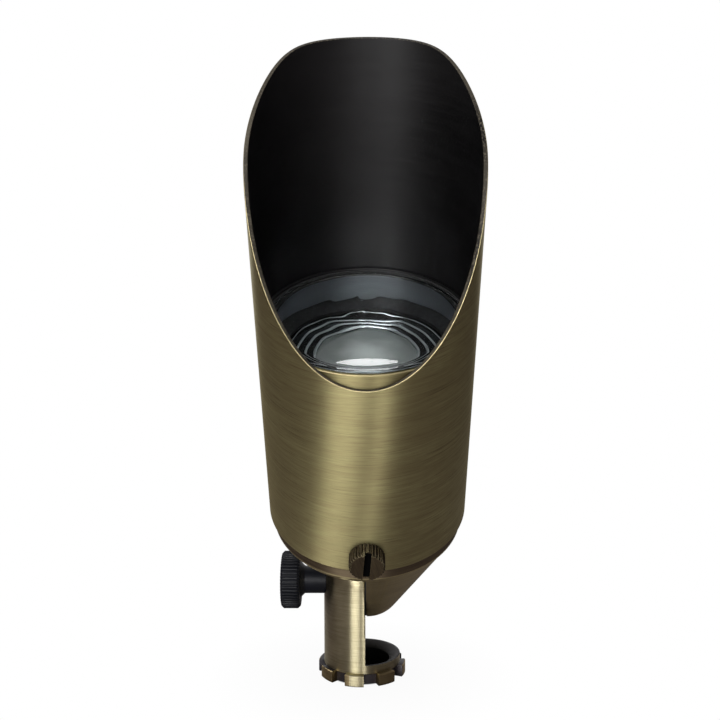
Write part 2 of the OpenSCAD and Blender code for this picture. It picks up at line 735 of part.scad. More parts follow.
// side view of what the scoop removes: y behind the axis against height
function scoop_outline() =
    let (low = [-shroud_r, front_len],
         knee = [knee_y_share * shroud_r, front_len + knee_rise_share * (shroud_len - front_len)],
         brow = [brow_y_share * shroud_r, shroud_len],
         back = [2 * shroud_r, shroud_len],
         start = low + cut * unit(low - knee))
    concat([start], corner_arc(low, knee, brow, knee_round, 10), corner_arc(knee, brow, back, brow_round, 14),
        [back, back + [0, shroud_len], [start[0], 2 * shroud_len]]);

// long tube with a bevelled lower edge and a scooped mouth
module shroud() {
    color(brass) in_head() translate([0, 0, shroud_z]) difference() {
        rotate_extrude() polygon([
            [shroud_in_r + edge_bevel / 2, 0], [shroud_r - edge_bevel, 0], [shroud_r, edge_bevel],
            [shroud_r, shroud_len + cut], [shroud_in_r, shroud_len + cut], [shroud_in_r, edge_bevel / 2]
        ]);
        rotate([90, 0, 90]) linear_extrude(height = 3 * shroud_r, center = true) polygon(scoop_outline());
        translate([0, 0, thumb_h]) rotate([90, 0, 0]) cylinder(h = 2 * shroud_r, r = shank_r + stud_gap, $fn = 48);
    }
}

// knurled, slotted thumb screw at the front of the shroud
module shroud_screw() {
    seat_y = shroud_r + cord_gap;
    tip_y = shroud_in_r + stud_gap;
    color(dark_brass) in_head() translate([0, 0, shroud_z + thumb_h]) rotate([90, 0, 0]) difference() {
        union() {
            translate([0, 0, tip_y]) cylinder(h = seat_y - tip_y + cut, r = shank_r, $fn = 48);
            translate([0, 0, seat_y])
                knurled_disc(thumb_r, thumb_len, thumb_ridge_depth, thumb_ridges, thumb_bevel);
        }
        rotate([0, 0, -slot_turn]) translate([-slot_w / 2, -thumb_r - cut, seat_y + thumb_len - slot_depth])
            cube([slot_w, 2 * (thumb_r + cut), slot_depth + cut]);
    }
}

stem();
pivot_washer();
tilt_knob();
tilt_screw();
rear_cone();
cone_seal();
cone_screws();
cord_grommet();
housing();
lens_gasket();
lens();
lamp_ring();
lamp_reflector();
lamp_cover();
lamp_capsule();
lamp_base();
lamp_pins();
lamp_socket();
socket_bracket();
socket_screws();
lamp_leads();
shroud_o_rings();
shroud();
shroud_screw();
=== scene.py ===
"""Landscape spotlight: the finishes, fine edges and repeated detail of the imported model.

Meshes are built in millimetres in the frame of the piece they belong to, with
that piece's axis along Z, and set_piece() then stands them in the model, in metres.
"""

import json
import math

import bmesh
import bpy
from mathutils import Matrix, Vector


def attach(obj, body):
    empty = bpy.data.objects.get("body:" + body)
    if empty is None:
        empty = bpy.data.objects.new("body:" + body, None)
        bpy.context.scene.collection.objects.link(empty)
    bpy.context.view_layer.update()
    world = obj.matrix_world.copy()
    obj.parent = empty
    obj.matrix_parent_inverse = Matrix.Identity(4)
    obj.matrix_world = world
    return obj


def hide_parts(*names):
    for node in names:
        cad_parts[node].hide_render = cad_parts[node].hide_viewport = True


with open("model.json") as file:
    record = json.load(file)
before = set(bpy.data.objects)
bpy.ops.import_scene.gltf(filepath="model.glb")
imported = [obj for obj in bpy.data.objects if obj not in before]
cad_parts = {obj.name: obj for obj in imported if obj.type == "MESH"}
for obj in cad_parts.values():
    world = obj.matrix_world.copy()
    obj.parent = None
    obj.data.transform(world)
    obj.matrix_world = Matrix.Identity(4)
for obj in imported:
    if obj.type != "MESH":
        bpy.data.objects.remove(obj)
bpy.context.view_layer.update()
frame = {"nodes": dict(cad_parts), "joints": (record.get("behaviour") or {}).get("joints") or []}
nodes = frame["nodes"]
joints = {joint["name"]: joint for joint in frame["joints"]}

MM = 0.001
DOUBLES = 1e-4
SMOOTH = math.radians(32)
SEGMENTS = 256
WHITE = (1, 1, 1, 1)


# Frames of the pieces

def axis_frame(joint, sideways):
    """The frame on a joint's axis: Z along the axis, X as near sideways as it can be."""
    z = Vector(joints[joint]["axis"]).normalized()
    y = z.cross(Vector(sideways)).normalized()
    turn = Matrix((y.cross(z), y, z)).transposed().to_4x4()
    return Matrix.Translation(joints[joint]["pos_m"]) @ turn


HEAD = axis_frame("shroud_turn", (1, 0, 0))
THUMB = axis_frame("shroud_screw_turn", (1, 0, 0))
KNOB = axis_frame("tilt_knob_turn", (0, 1, 0))
STEM = Matrix.Identity(4)


def span(node, place):
    """Largest radius and lowest and highest height of a node in a frame, in millimetres."""
    back = place.inverted()
    points = [back @ v.co / MM for v in nodes[node].data.vertices]
    heights = [p.z for p in points]
    return max(math.hypot(p.x, p.y) for p in points), min(heights), max(heights)


# Trees of nodes

def feed(tree, socket, value):
    """Links a socket to the input, or writes the value into it."""
    if isinstance(value, bpy.types.NodeSocket):
        tree.links.new(value, socket)
    elif value is not None:
        socket.default_value = value


def add(tree, kind, inputs=None, **settings):
    """A new node with its settings made and its inputs fed, by name or by number."""
    node = tree.nodes.new(kind)
    for key, value in settings.items():
        setattr(node, key, value)
    for key, value in (inputs or {}).items():
        feed(tree, node.inputs[key], value)
    return node


def calc(tree, operation, *values):
    """The result of a Math node."""
    return add(tree, "ShaderNodeMath", dict(enumerate(values)), operation=operation).outputs[0]


def vector_calc(tree, operation, *values):
    """The result of a Vector Math node; a dot product or a length is its second output."""
    node = add(tree, "ShaderNodeVectorMath", dict(enumerate(values)), operation=operation)
    return node.outputs[1 if operation in ("DOT_PRODUCT", "LENGTH") else 0]


def remap(tree, value, low, high, to_low=0.0, to_high=1.0, smooth=False):
    """The value carried from one range to another and kept inside it."""
    node = add(tree, "ShaderNodeMapRange", {
        "Value": value, 1: low, 2: high, 3: to_low, 4: to_high}, clamp=True)
    if smooth:
        node.interpolation_type = "SMOOTHSTEP"
    return node.outputs[0]


def mix(tree, share, first, second):
    """Two colours mixed by a share."""
    return add(tree, "ShaderNodeMix", {0: share, 6: first, 7: second}, data_type="RGBA").outputs[2]


def new_tree(name, kind, inputs, outputs):
    """An empty node tree with named sockets, and its input and output nodes."""
    tree = bpy.data.node_groups.new(name, kind)
    for title, socket_type, default in inputs:
        socket = tree.interface.new_socket(title, in_out="INPUT", socket_type=socket_type)
        if default is not None:
            socket.default_value = default
    for title, socket_type in outputs:
        tree.interface.new_socket(title, in_out="OUTPUT", socket_type=socket_type)
    return tree, tree.nodes.new("NodeGroupInput").outputs, tree.nodes.new("NodeGroupOutput").inputs


# Geometry trees

def spin(tree, section, segments):
    """Spins a closed section, its points in order in the XZ plane, once round Z, from the front."""
    count = add(tree, "GeometryNodeAttributeDomainSize", {"Geometry": section}).outputs["Point Count"]
    grid = add(tree, "GeometryNodeMeshGrid", {
        "Size X": 1.0, "Size Y": 1.0,
        "Vertices X": calc(tree, "ADD", count, 1.0), "Vertices Y": calc(tree, "ADD", segments, 1.0)})
    here = add(tree, "GeometryNodeInputPosition").outputs[0]
    split = add(tree, "ShaderNodeSeparateXYZ", {0: here})
    step = calc(tree, "ROUND", calc(tree, "MULTIPLY", calc(tree, "ADD", split.outputs["X"], 0.5), count))
    point = add(tree, "GeometryNodeSampleIndex", {
        "Geometry": section, "Value": add(tree, "GeometryNodeInputPosition").outputs[0],
        "Index": calc(tree, "MODULO", step, count)}, data_type="FLOAT_VECTOR")
    profile = add(tree, "ShaderNodeSeparateXYZ", {0: point.outputs[0]})
    turn = calc(tree, "MULTIPLY", calc(tree, "ADD", split.outputs["Y"], 0.5), 2 * math.pi)
    radius = profile.outputs["X"]
    place = add(tree, "ShaderNodeCombineXYZ", {
        "X": calc(tree, "MULTIPLY", radius, calc(tree, "SINE", turn)),
        "Y": calc(tree, "MULTIPLY", calc(tree, "MULTIPLY", radius, -1.0), calc(tree, "COSINE", turn)),
        "Z": profile.outputs["Z"]})
    spun = add(tree, "GeometryNodeSetPosition", {
        "Geometry": grid.outputs["Mesh"], "Position": place.outputs[0]}).outputs[0]
    return add(tree, "GeometryNodeMergeByDistance", {"Geometry": spun, "Distance": DOUBLES}).outputs[0]


def end_tree(tree, geometry, material, result):
    """Real copies and one material, as the tree's last two nodes."""
    real = add(tree, "GeometryNodeRealizeInstances", {"Geometry": geometry}).outputs[0]
    painted = add(tree, "GeometryNodeSetMaterial", {"Geometry": real, "Material": material}).outputs[0]
    feed(tree, result, painted)


def turned_tree():
    """A part turned on a lathe from its section."""
    tree, given, result = new_tree("turned part", "GeometryNodeTree", [
        ("Section", "NodeSocketGeometry", None),
        ("Segments", "NodeSocketInt", SEGMENTS),
        ("Material", "NodeSocketMaterial", None),
    ], [("Mesh", "NodeSocketGeometry")])
    end_tree(tree, spin(tree, given["Section"], given["Segments"]), given["Material"], result["Mesh"])
    return tree


def copies_tree():
    """One bar, tooth or screw, copied evenly round Z."""
    tree, given, result = new_tree("copies round the axis", "GeometryNodeTree", [
        ("Copy", "NodeSocketGeometry", None),
        ("Count", "NodeSocketInt", 8),
        ("Material", "NodeSocketMaterial", None),
    ], [("Mesh", "NodeSocketGeometry")])
    points = add(tree, "GeometryNodePoints", {"Count": given["Count"]}).outputs[0]
    index = add(tree, "GeometryNodeInputIndex").outputs[0]
    turn = calc(tree, "MULTIPLY", index, calc(tree, "DIVIDE", 2 * math.pi, given["Count"]))
    copies = add(tree, "GeometryNodeInstanceOnPoints", {
        "Points": points, "Instance": given["Copy"],
        "Rotation": add(tree, "ShaderNodeCombineXYZ", {"Z": turn}).outputs[0]}).outputs[0]
    end_tree(tree, copies, given["Material"], result["Mesh"])
    return tree


def scooped_tube_tree():
    """A turned tube whose mouth rises to the scoop, square through the wall: blended slopes and a flat."""
    tree, given, result = new_tree("scooped tube", "GeometryNodeTree", [
        ("Section", "NodeSocketGeometry", None),
        ("Segments", "NodeSocketInt", SEGMENTS),
        ("Radius", "NodeSocketFloat", 30.0),
        ("Front Length", "NodeSocketFloat", 60.0),
        ("Full Length", "NodeSocketFloat", 140.0),
        ("Knee Y", "NodeSocketFloat", 1.0),
        ("Knee Height", "NodeSocketFloat", 110.0),
        ("Brow Y", "NodeSocketFloat", 25.0),
        ("Knee Blend", "NodeSocketFloat", 3.0),
        ("Brow Blend", "NodeSocketFloat", 7.0),
        ("Straight Height", "NodeSocketFloat", 30.0),
        ("Rim Height", "NodeSocketFloat", 64.0),
        ("Material", "NodeSocketMaterial", None),
    ], [("Mesh", "NodeSocketGeometry")])
    tube = spin(tree, given["Section"], given["Segments"])
    spot = add(tree, "GeometryNodeInputPosition").outputs[0]
    place = add(tree, "ShaderNodeSeparateXYZ", {0: spot})
    radius = vector_calc(tree, "LENGTH", vector_calc(tree, "MULTIPLY", spot, (1.0, 1.0, 0.0)))
    y = calc(tree, "MULTIPLY", calc(tree, "DIVIDE", place.outputs["Y"], radius), given["Radius"])
    z = place.outputs["Z"]

    def slope(y0, z0, y1, z1):
        """Height at y of the straight line through two points."""
        rate = calc(tree, "DIVIDE", calc(tree, "SUBTRACT", z1, z0), calc(tree, "SUBTRACT", y1, y0))
        return calc(tree, "ADD", z0, calc(tree, "MULTIPLY", calc(tree, "SUBTRACT", y, y0), rate))

    front_y = calc(tree, "MULTIPLY", given["Radius"], -1.0)
    lower = slope(front_y, given["Front Length"], given["Knee Y"], given["Knee Height"])
    upper = slope(given["Knee Y"], given["Knee Height"], given["Brow Y"], given["Full Length"])
    slopes = calc(tree, "SMOOTH_MIN", lower, upper, given["Knee Blend"])
    mouth = calc(tree, "SMOOTH_MIN", slopes, given["Full Length"], given["Brow Blend"])
    share = remap(tree, z, given["Straight Height"], given["Rim Height"])
    lift = calc(tree, "MULTIPLY", share, calc(tree, "SUBTRACT", mouth, given["Front Length"]))
    lifted = add(tree, "GeometryNodeSetPosition", {
        "Geometry": tube, "Offset": add(tree, "ShaderNodeCombineXYZ", {"Z": lift}).outputs[0]}).outputs[0]
    end_tree(tree, lifted, given["Material"], result["Mesh"])
    return tree


# Meshes

def unit(v):
    """The vector at length 1."""
    return v / v.length


def rounded(outline, steps=4):
    """A closed outline of (r, z) or (r, z, fillet) corners as a list of (r, z) points."""
    points = []
    for i, corner in enumerate(outline):
        here = Vector(corner[:2])
        if len(corner) == 2:
            points.append(tuple(here))
            continue
        back = Vector(outline[i - 1][:2]) - here
        on = Vector(outline[(i + 1) % len(outline)][:2]) - here
        half = back.angle(on) / 2
        reach = min(corner[2] / math.tan(half), back.length / 2, on.length / 2)
        fillet = reach * math.tan(half)
        centre = here + unit(unit(back) + unit(on)) * fillet / math.sin(half)
        start = here + unit(back) * reach - centre
        end = here + unit(on) * reach - centre
        for k in range(steps + 1):
            points.append(tuple(centre + fillet * unit(start.lerp(end, k / steps))))
    return points


def arc(centre, radius, start, end, steps):
    """Points (r, z) on a circle, from one angle to another in degrees, 0 pointing outwards."""
    turns = [math.radians(start + (end - start) * k / steps) for k in range(steps + 1)]
    return [(centre[0] + radius * math.cos(t), centre[1] + radius * math.sin(t)) for t in turns]


def mesh_object(name, points, faces=(), edges=()):
    """A new object in the scene, made of the points, faces and edges."""
    mesh = bpy.data.meshes.new(name)
    mesh.from_pydata(points, edges, faces)
    obj = bpy.data.objects.new(name, mesh)
    bpy.context.scene.collection.objects.link(obj)
    return obj


def bake_modifiers(obj):
    """Turns the evaluated object into its plain mesh, and takes the modifiers off."""
    bpy.context.view_layer.update()
    graph = bpy.context.evaluated_depsgraph_get()
    mesh = bpy.data.meshes.new_from_object(obj.evaluated_get(graph), depsgraph=graph)
    obj.modifiers.clear()
    obj.data = mesh
    mesh.name = obj.name
    return obj


def run_tree(obj, tree, values):
    """Runs a geometry tree on the object with its named inputs set, and keeps the plain mesh."""
    modifier = obj.modifiers.new(tree.name, "NODES")
    modifier.node_group = tree
    for item in tree.interface.items_tree:
        if item.item_type == "SOCKET" and item.in_out == "INPUT" and item.name in values:
            modifier[item.identifier] = values[item.name]
    return bake_modifiers(obj)


def clean(obj):
    """Merges doubles, drops loose edges and points the faces of a closed mesh outwards."""
    work = bmesh.new()
    work.from_mesh(obj.data)
    bmesh.ops.remove_doubles(work, verts=work.verts, dist=DOUBLES)
    bmesh.ops.dissolve_degenerate(work, edges=work.edges, dist=1e-5)
    loose = [edge for edge in work.edges if not edge.link_faces]
    bmesh.ops.delete(work, geom=loose, context="EDGES")
    bmesh.ops.recalc_face_normals(work, faces=work.faces)
    work.to_mesh(obj.data)
    work.free()
    return obj


def turned(name, section, material, segments=SEGMENTS, tree=None, values=None):
    """A piece spun from a closed section of (r, z) points."""
    count = len(section)
    edges = [(i, (i + 1) % count) for i in range(count)]
    obj = mesh_object(name, [(r, 0, z) for r, z in section], edges=edges)
    run_tree(obj, tree or TURNED, {"Segments": segments, "Material": material, **(values or {})})
    return clean(obj)


def copied(name, copy_points, copy_faces, count, material):
    """Copies of one closed bar round Z."""
    obj = clean(mesh_object(name, copy_points, copy_faces))
    return run_tree(obj, COPIES, {"Count": count, "Material": material})


def joined(name, *objs):
    """Several objects as one, their materials kept."""
    work = bmesh.new()
    materials = []
    for obj in objs:
        start = len(work.faces)
        work.from_mesh(obj.data)
        work.faces.ensure_lookup_table()
        for face in work.faces[start:]:
            material = obj.data.materials[face.material_index]
            if material not in materials:
                materials.append(material)
            face.material_index = materials.index(material)
    mesh = bpy.data.meshes.new(name)
    work.to_mesh(mesh)
    work.free()
    for material in materials:
        mesh.materials.append(material)
    for obj in objs:
        bpy.data.objects.remove(obj)
    obj = bpy.data.objects.new(name, mesh)
    bpy.context.scene.collection.objects.link(obj)
    return obj


def repaint(obj, rule, *materials):
    """Gives each face the material whose number the rule returns for its middle and normal."""
    obj.data.materials.clear()
    for material in materials:
        obj.data.materials.append(material)
    for face in obj.data.polygons:
        face.material_index = rule(face.center, face.normal)


def lay_grain(obj, straight=False):
    """A UV map in metres, U across the turning marks and V along them; an end face may run straight."""
    layer = obj.data.uv_layers.new(name="Grain")
    for face in obj.data.polygons:
        end_face = abs(face.normal.z) > 0.95
        middle = math.atan2(face.center.y, face.center.x)
        for loop in face.loop_indices:
            p = obj.data.vertices[obj.data.loops[loop].vertex_index].co
            radius = math.hypot(p.x, p.y)
            turn = math.atan2(p.y, p.x) if radius > 1e-6 else middle
            turn += 2 * math.pi * round((middle - turn) / (2 * math.pi))
            across = radius if end_face else p.z + (radius if abs(face.normal.z) > 0.3 else 0)
            place = (p.x, p.y) if end_face and straight else (across, turn * radius)
            layer.data[loop].uv = [length * MM for length in place]


def wall_normals(mesh):
    """For each corner of a facetted upright wall round Z, the normal of the true cylinder; None elsewhere."""
    normals = [None] * len(mesh.loops)
    for face in mesh.polygons:
        out = Vector((face.center.x, face.center.y, 0.0)).normalized()
        if abs(face.normal.dot(out)) > 0.9985:
            side = math.copysign(1.0, face.normal.dot(out))
            for loop in face.loop_indices:
                p = mesh.vertices[mesh.loops[loop].vertex_index].co
                normals[loop] = side * Vector((p.x, p.y, 0.0)).normalized()
    return normals


def set_piece(obj, place, body, slot, *replaced, sharp=SMOOTH, true_walls=False, straight=False):
    """Stands a piece built in millimetres in its frame, smooths it and rides it on its body."""
    lay_grain(obj, straight)
    walls = wall_normals(obj.data) if true_walls else []
    obj.data.transform(place @ Matrix.Scale(MM, 4))
    obj.data.shade_smooth()
    obj.data.set_sharp_from_angle(angle=sharp)
    if true_walls:
        turn = place.to_3x3()
        corners = [turn @ wall if wall else Vector(corner.vector)
                   for wall, corner in zip(walls, obj.data.corner_normals)]
        obj.data.normals_split_custom_set(corners)
    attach(obj, body)
    if replaced:
        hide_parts(*replaced)
    return obj


def from_node(name, node, place, bevel, segments=2, angle=28):
    """A copy of a CAD node in a piece's frame, in millimetres, with its sharp edges broken."""
    mesh = nodes[node].data.copy()
    mesh.transform(Matrix.Scale(1 / MM, 4) @ place.inverted())
    mesh.materials.clear()
    obj = bpy.data.objects.new(name, mesh)
    bpy.context.scene.collection.objects.link(obj)
    work = bmesh.new()
    work.from_mesh(mesh)
    bmesh.ops.remove_doubles(work, verts=work.verts, dist=2e-3)
    bmesh.ops.dissolve_degenerate(work, edges=work.edges, dist=1e-3)
    bmesh.ops.dissolve_limit(work, angle_limit=math.radians(0.4), verts=work.verts, edges=work.edges)
    work.to_mesh(mesh)
    work.free()
    edge = obj.modifiers.new("edges", "BEVEL")
    edge.width, edge.segments, edge.limit_method = bevel, segments, "ANGLE"
    edge.angle_limit = math.radians(angle)
    return bake_modifiers(obj)


TURNED = turned_tree()
COPIES = copies_tree()
SCOOPED = scooped_tube_tree()


# Shader groups

def shader_group(name, inputs, outputs):
    """A new shader node group."""
    return new_tree(name, "ShaderNodeTree", inputs, outputs)


def grain_group():
    """Brushing: fine lines round Z, long along their run and thin across it."""
    tree, given, result = shader_group("brushed grain", [
        ("Place", "NodeSocketVector", None),
        ("Line Length", "NodeSocketFloat", 0.02),
        ("Line Width", "NodeSocketFloat", 0.0002),
    ], [("Lines", "NodeSocketFloat"), ("Bands", "NodeSocketFloat"), ("Scratches", "NodeSocketFloat")])

    def lines(length_share, width_share, detail):
        """Noise drawn out round the piece, its size a share of the given line."""
        length = calc(tree, "MULTIPLY", given["Line Length"], length_share)
        width = calc(tree, "MULTIPLY", given["Line Width"], width_share)
        size = add(tree, "ShaderNodeCombineXYZ", {"X": length, "Y": length, "Z": width}).outputs[0]
        noise = add(tree, "ShaderNodeTexNoise", {
            "Vector": vector_calc(tree, "DIVIDE", given["Place"], size),
            "Scale": 1.0, "Detail": detail, "Roughness": 0.65})
        return noise.outputs["Fac"]

    fine = lines(1.0, 1.0, 3.0)
    coarse = lines(2.0, 3.5, 2.0)
    both = calc(tree, "ADD", calc(tree, "MULTIPLY", fine, 0.6), calc(tree, "MULTIPLY", coarse, 0.4))
    feed(tree, result["Lines"], remap(tree, both, 0.36, 0.64))
    feed(tree, result["Scratches"], remap(tree, lines(1.8, 0.8, 2.0), 0.57, 0.68))
    feed(tree, result["Bands"], remap(tree, lines(4.0, 25.0, 1.0), 0.3, 0.7))
    return tree


def tarnish_group():
    """Soft patches where the metal has darkened."""
    tree, given, result = shader_group("tarnish", [
        ("Place", "NodeSocketVector", None),
        ("Patch Size", "NodeSocketFloat", 0.02),
        ("Bright", "NodeSocketColor", (0.5, 0.4, 0.2, 1)),
        ("Dark", "NodeSocketColor", (0.2, 0.15, 0.1, 1)),
        ("Amount", "NodeSocketFloat", 0.5),
    ], [("Colour", "NodeSocketColor")])
    place = vector_calc(tree, "DIVIDE", given["Place"], given["Patch Size"])
    noise = add(tree, "ShaderNodeTexNoise", {"Vector": place, "Scale": 1.0, "Detail": 5.0, "Roughness": 0.6})
    mask = calc(tree, "MULTIPLY", remap(tree, noise.outputs["Fac"], 0.35, 0.7), given["Amount"])
    feed(tree, result["Colour"], mix(tree, mask, given["Bright"], given["Dark"]))
    return tree


def wear_group():
    """Edges rubbed bright: where a rounded normal leaves the true one, broken up by noise."""
    tree, given, result = shader_group("edge wear", [
        ("Place", "NodeSocketVector", None),
        ("Width", "NodeSocketFloat", 0.0004),
        ("Amount", "NodeSocketFloat", 0.7),
    ], [("Mask", "NodeSocketFloat")])
    rounded_normal = add(tree, "ShaderNodeBevel", {"Radius": given["Width"]}, samples=6).outputs[0]
    true_normal = add(tree, "ShaderNodeNewGeometry").outputs["Normal"]
    bend = calc(tree, "SUBTRACT", 1.0, vector_calc(tree, "DOT_PRODUCT", rounded_normal, true_normal))
    noise = add(tree, "ShaderNodeTexNoise", {"Vector": given["Place"], "Scale": 900.0, "Detail": 3.0})
    edge = remap(tree, bend, 0.02, 0.22)
    patchy = calc(tree, "MULTIPLY", edge, remap(tree, noise.outputs["Fac"], 0.3, 0.6))
    feed(tree, result["Mask"], calc(tree, "MULTIPLY", patchy, given["Amount"]))
    return tree


def corner_shade_group():
    """Painted shade where surfaces meet, where ambient occlusion finds little open sky."""
    tree, given, result = shader_group("corner_shade", [
        ("Reach", "NodeSocketFloat", 0.002),
        ("Amount", "NodeSocketFloat", 0.6),
    ], [("Mask", "NodeSocketFloat")])
    open_sky = add(tree, "ShaderNodeAmbientOcclusion", {"Distance": given["Reach"]}, samples=6).outputs["AO"]
    shut = remap(tree, open_sky, 0.85, 0.35)
    feed(tree, result["Mask"], calc(tree, "MULTIPLY", shut, given["Amount"]))
    return tree


GRAIN = grain_group()
TARNISH = tarnish_group()
WEAR = wear_group()
CORNER_SHADE = corner_shade_group()


# Materials

def new_material(name, place):
    """An empty material, its tree, its surface shader, and the coordinates of a piece's frame in metres."""
    material = bpy.data.materials.new(name)
    material.use_nodes = True
    tree = material.node_tree
    shader = tree.nodes["Principled BSDF"]
    spot = add(tree, "ShaderNodeTexCoord").outputs["Object"]
    turn = place.to_euler()
    centred = add(tree, "ShaderNodeMapping", {
        "Vector": spot, "Location": place.translation, "Rotation": turn}, vector_type="TEXTURE").outputs[0]
    return material, tree, shader, centred


def use(tree, group, **inputs):
    """A group placed in a material; underscores in an input's name stand for spaces."""
    node = add(tree, "ShaderNodeGroup", node_tree=group)
    for key, value in inputs.items():
        feed(tree, node.inputs[key.replace("_", " ")], value)
    return node.outputs


def bump(tree, height, distance, strength=1.0):
    """A normal raised by a height, its full rise in metres."""
    node = add(tree, "ShaderNodeBump", {"Height": height, "Distance": distance, "Strength": strength})
    return node.outputs["Normal"]


def shade(colour, share):
    """The colour darkened to a share of itself."""
    return tuple(c * share for c in colour[:3]) + (1,)


def brushed(tree, shader, anisotropy):
    """The long highlight of a brushed surface, across the marks of its own UV map."""
    shader.inputs["Anisotropic"].default_value = anisotropy
    tangent = add(tree, "ShaderNodeTangent", direction_type="UV_MAP", uv_map="Grain").outputs[0]
    feed(tree, shader.inputs["Tangent"], tangent)


RUBBED = (0.78, 0.70, 0.40, 1)


def brass(name, place, bright, dark, tarnish=0.5, rough=(0.42, 0.5), grain=(0.03, 0.00016),
          streaks=0.45, wear=0.6, corner_shade=0.7, patch=0.018, anisotropy=0.95):
    """Antique brass brushed round Z of the frame, tarnished, with painted shade in its corners and bright on
    its edges.
    """
    material, tree, shader, spot = new_material(name, place)
    marks = use(tree, GRAIN, Place=spot, Line_Length=grain[0], Line_Width=grain[1])
    tone = use(tree, TARNISH, Place=spot, Patch_Size=patch, Bright=bright, Dark=dark, Amount=tarnish)
    shaded = mix(tree, calc(tree, "MULTIPLY", marks["Lines"], streaks), tone["Colour"], dark)
    banded = mix(tree, calc(tree, "MULTIPLY", marks["Bands"], streaks * 0.5), shaded, dark)
    scratched = mix(tree, calc(tree, "MULTIPLY", marks["Scratches"], streaks), banded, shade(dark, 0.5))
    # Painted shade: the colour darkened in corners that ambient occlusion finds shut in.
    corner_shaded = mix(tree, use(tree, CORNER_SHADE, Amount=corner_shade)["Mask"], scratched, shade(dark, 0.18))
    rubbed = mix(tree, use(tree, WEAR, Place=spot, Amount=wear)["Mask"], corner_shaded, RUBBED)
    feed(tree, shader.inputs["Base Color"], rubbed)
    feed(tree, shader.inputs["Roughness"], remap(tree, marks["Lines"], 0.0, 1.0, *rough))
    feed(tree, shader.inputs["Normal"], bump(tree, marks["Lines"], 4e-6, 0.5))
    shader.inputs["Metallic"].default_value = 1.0
    brushed(tree, shader, anisotropy)
    return material


def patina(name, place, colour, streak, rough=(0.43, 0.49), metal=0.35, anisotropy=0.5, speckle=0.0,
           specular=0.5):
    """Patina, cloudy, with faint turning marks round Z of the frame and, where asked, bright specks."""
    material, tree, shader, spot = new_material(name, place)
    marks = use(tree, GRAIN, Place=spot, Line_Length=0.012, Line_Width=0.0004)
    lines = marks["Lines"]
    cloud = add(tree, "ShaderNodeTexNoise", {"Vector": spot, "Scale": 60.0, "Detail": 4.0}).outputs["Fac"]
    specks = add(tree, "ShaderNodeTexNoise", {"Vector": spot, "Scale": 1800.0, "Detail": 2.0}).outputs["Fac"]
    soft = calc(tree, "ADD", calc(tree, "MULTIPLY", remap(tree, lines, 0.5, 1.0), 0.2),
                calc(tree, "MULTIPLY", remap(tree, cloud, 0.3, 0.7), 0.8))
    share = calc(tree, "MAXIMUM", soft, calc(tree, "MULTIPLY", remap(tree, specks, 0.5, 0.62), speckle))
    feed(tree, shader.inputs["Base Color"], mix(tree, share, colour, streak))
    feed(tree, shader.inputs["Roughness"], remap(tree, lines, 0.3, 0.7, *rough))
    feed(tree, shader.inputs["Normal"], bump(tree, lines, 6e-6, 0.15))
    shader.inputs["Metallic"].default_value = metal
    shader.inputs["Specular IOR Level"].default_value = specular
    brushed(tree, shader, anisotropy)
    return material


def depth_shaded_patina(name, place, low, high, painted_shade_colour, colour):
    """Dull patina with painted shade that darkens it with depth between two heights of the frame, in
    millimetres.
    """
    material, tree, shader, spot = new_material(name, place)
    height = add(tree, "ShaderNodeSeparateXYZ", {0: spot}).outputs["Z"]
    cloud = add(tree, "ShaderNodeTexNoise", {"Vector": spot, "Scale": 300.0, "Detail": 3.0}).outputs["Fac"]
    rise = remap(tree, height, low * MM, high * MM, smooth=True)
    feed(tree, shader.inputs["Base Color"], mix(tree, rise, painted_shade_colour, colour))
    feed(tree, shader.inputs["Roughness"], remap(tree, cloud, 0.3, 0.7, 0.5, 0.62))
    feed(tree, shader.inputs["Normal"], bump(tree, cloud, 6e-6, 0.4))
    shader.inputs["Metallic"].default_value = 0.2
    shader.inputs["Specular IOR Level"].default_value = 0.2
    return material


def plain(name, place, light, dark, rough, metal=0.0, scale=700.0, depth=6e-6, specular=0.5):
    """A fine-grained surface in two close tones, with painted shade in its corners: moulded rubber, plastic,
    ceramic or satin steel.
    """
    material, tree, shader, spot = new_material(name, place)
    fine = add(tree, "ShaderNodeTexNoise", {"Vector": spot, "Scale": scale, "Detail": 4.0}).outputs["Fac"]
    coarse = scale / 14
    broad = add(tree, "ShaderNodeTexNoise", {"Vector": spot, "Scale": coarse, "Detail": 3.0}).outputs["Fac"]
    # Painted shade: corners darkened by ambient occlusion.
    mask = use(tree, CORNER_SHADE, Amount=0.5)["Mask"]
    tone = mix(tree, remap(tree, broad, 0.3, 0.7), dark, light)
    feed(tree, shader.inputs["Base Color"], mix(tree, mask, tone, shade(dark, 0.3)))
    feed(tree, shader.inputs["Roughness"], remap(tree, fine, 0.3, 0.7, *rough))
    feed(tree, shader.inputs["Normal"], bump(tree, fine, depth, 0.6))
    shader.inputs["Metallic"].default_value = metal
    shader.inputs["Specular IOR Level"].default_value = specular
    return material


def satin_with_painted_highlight(name, place, middle, outer, reach, rough, metal):
    """Satin glass with a soft pale spot painted in its middle as a highlight."""
    material, tree, shader, spot = new_material(name, place)
    flat = vector_calc(tree, "MULTIPLY", spot, (1.0, 1.0, 0.0))
    cloud = add(tree, "ShaderNodeTexNoise", {"Vector": spot, "Scale": 160.0, "Detail": 2.0}).outputs["Fac"]
    uneven = remap(tree, cloud, 0.0, 1.0, -0.3 * reach, 0.3 * reach)
    distance = calc(tree, "ADD", vector_calc(tree, "LENGTH", flat), uneven)
    share = remap(tree, distance, 0.0, reach, smooth=True)
    feed(tree, shader.inputs["Base Color"], mix(tree, share, middle, outer))
    feed(tree, shader.inputs["Roughness"], remap(tree, cloud, 0.3, 0.7, *rough))
    shader.inputs["Metallic"].default_value = metal
    return material


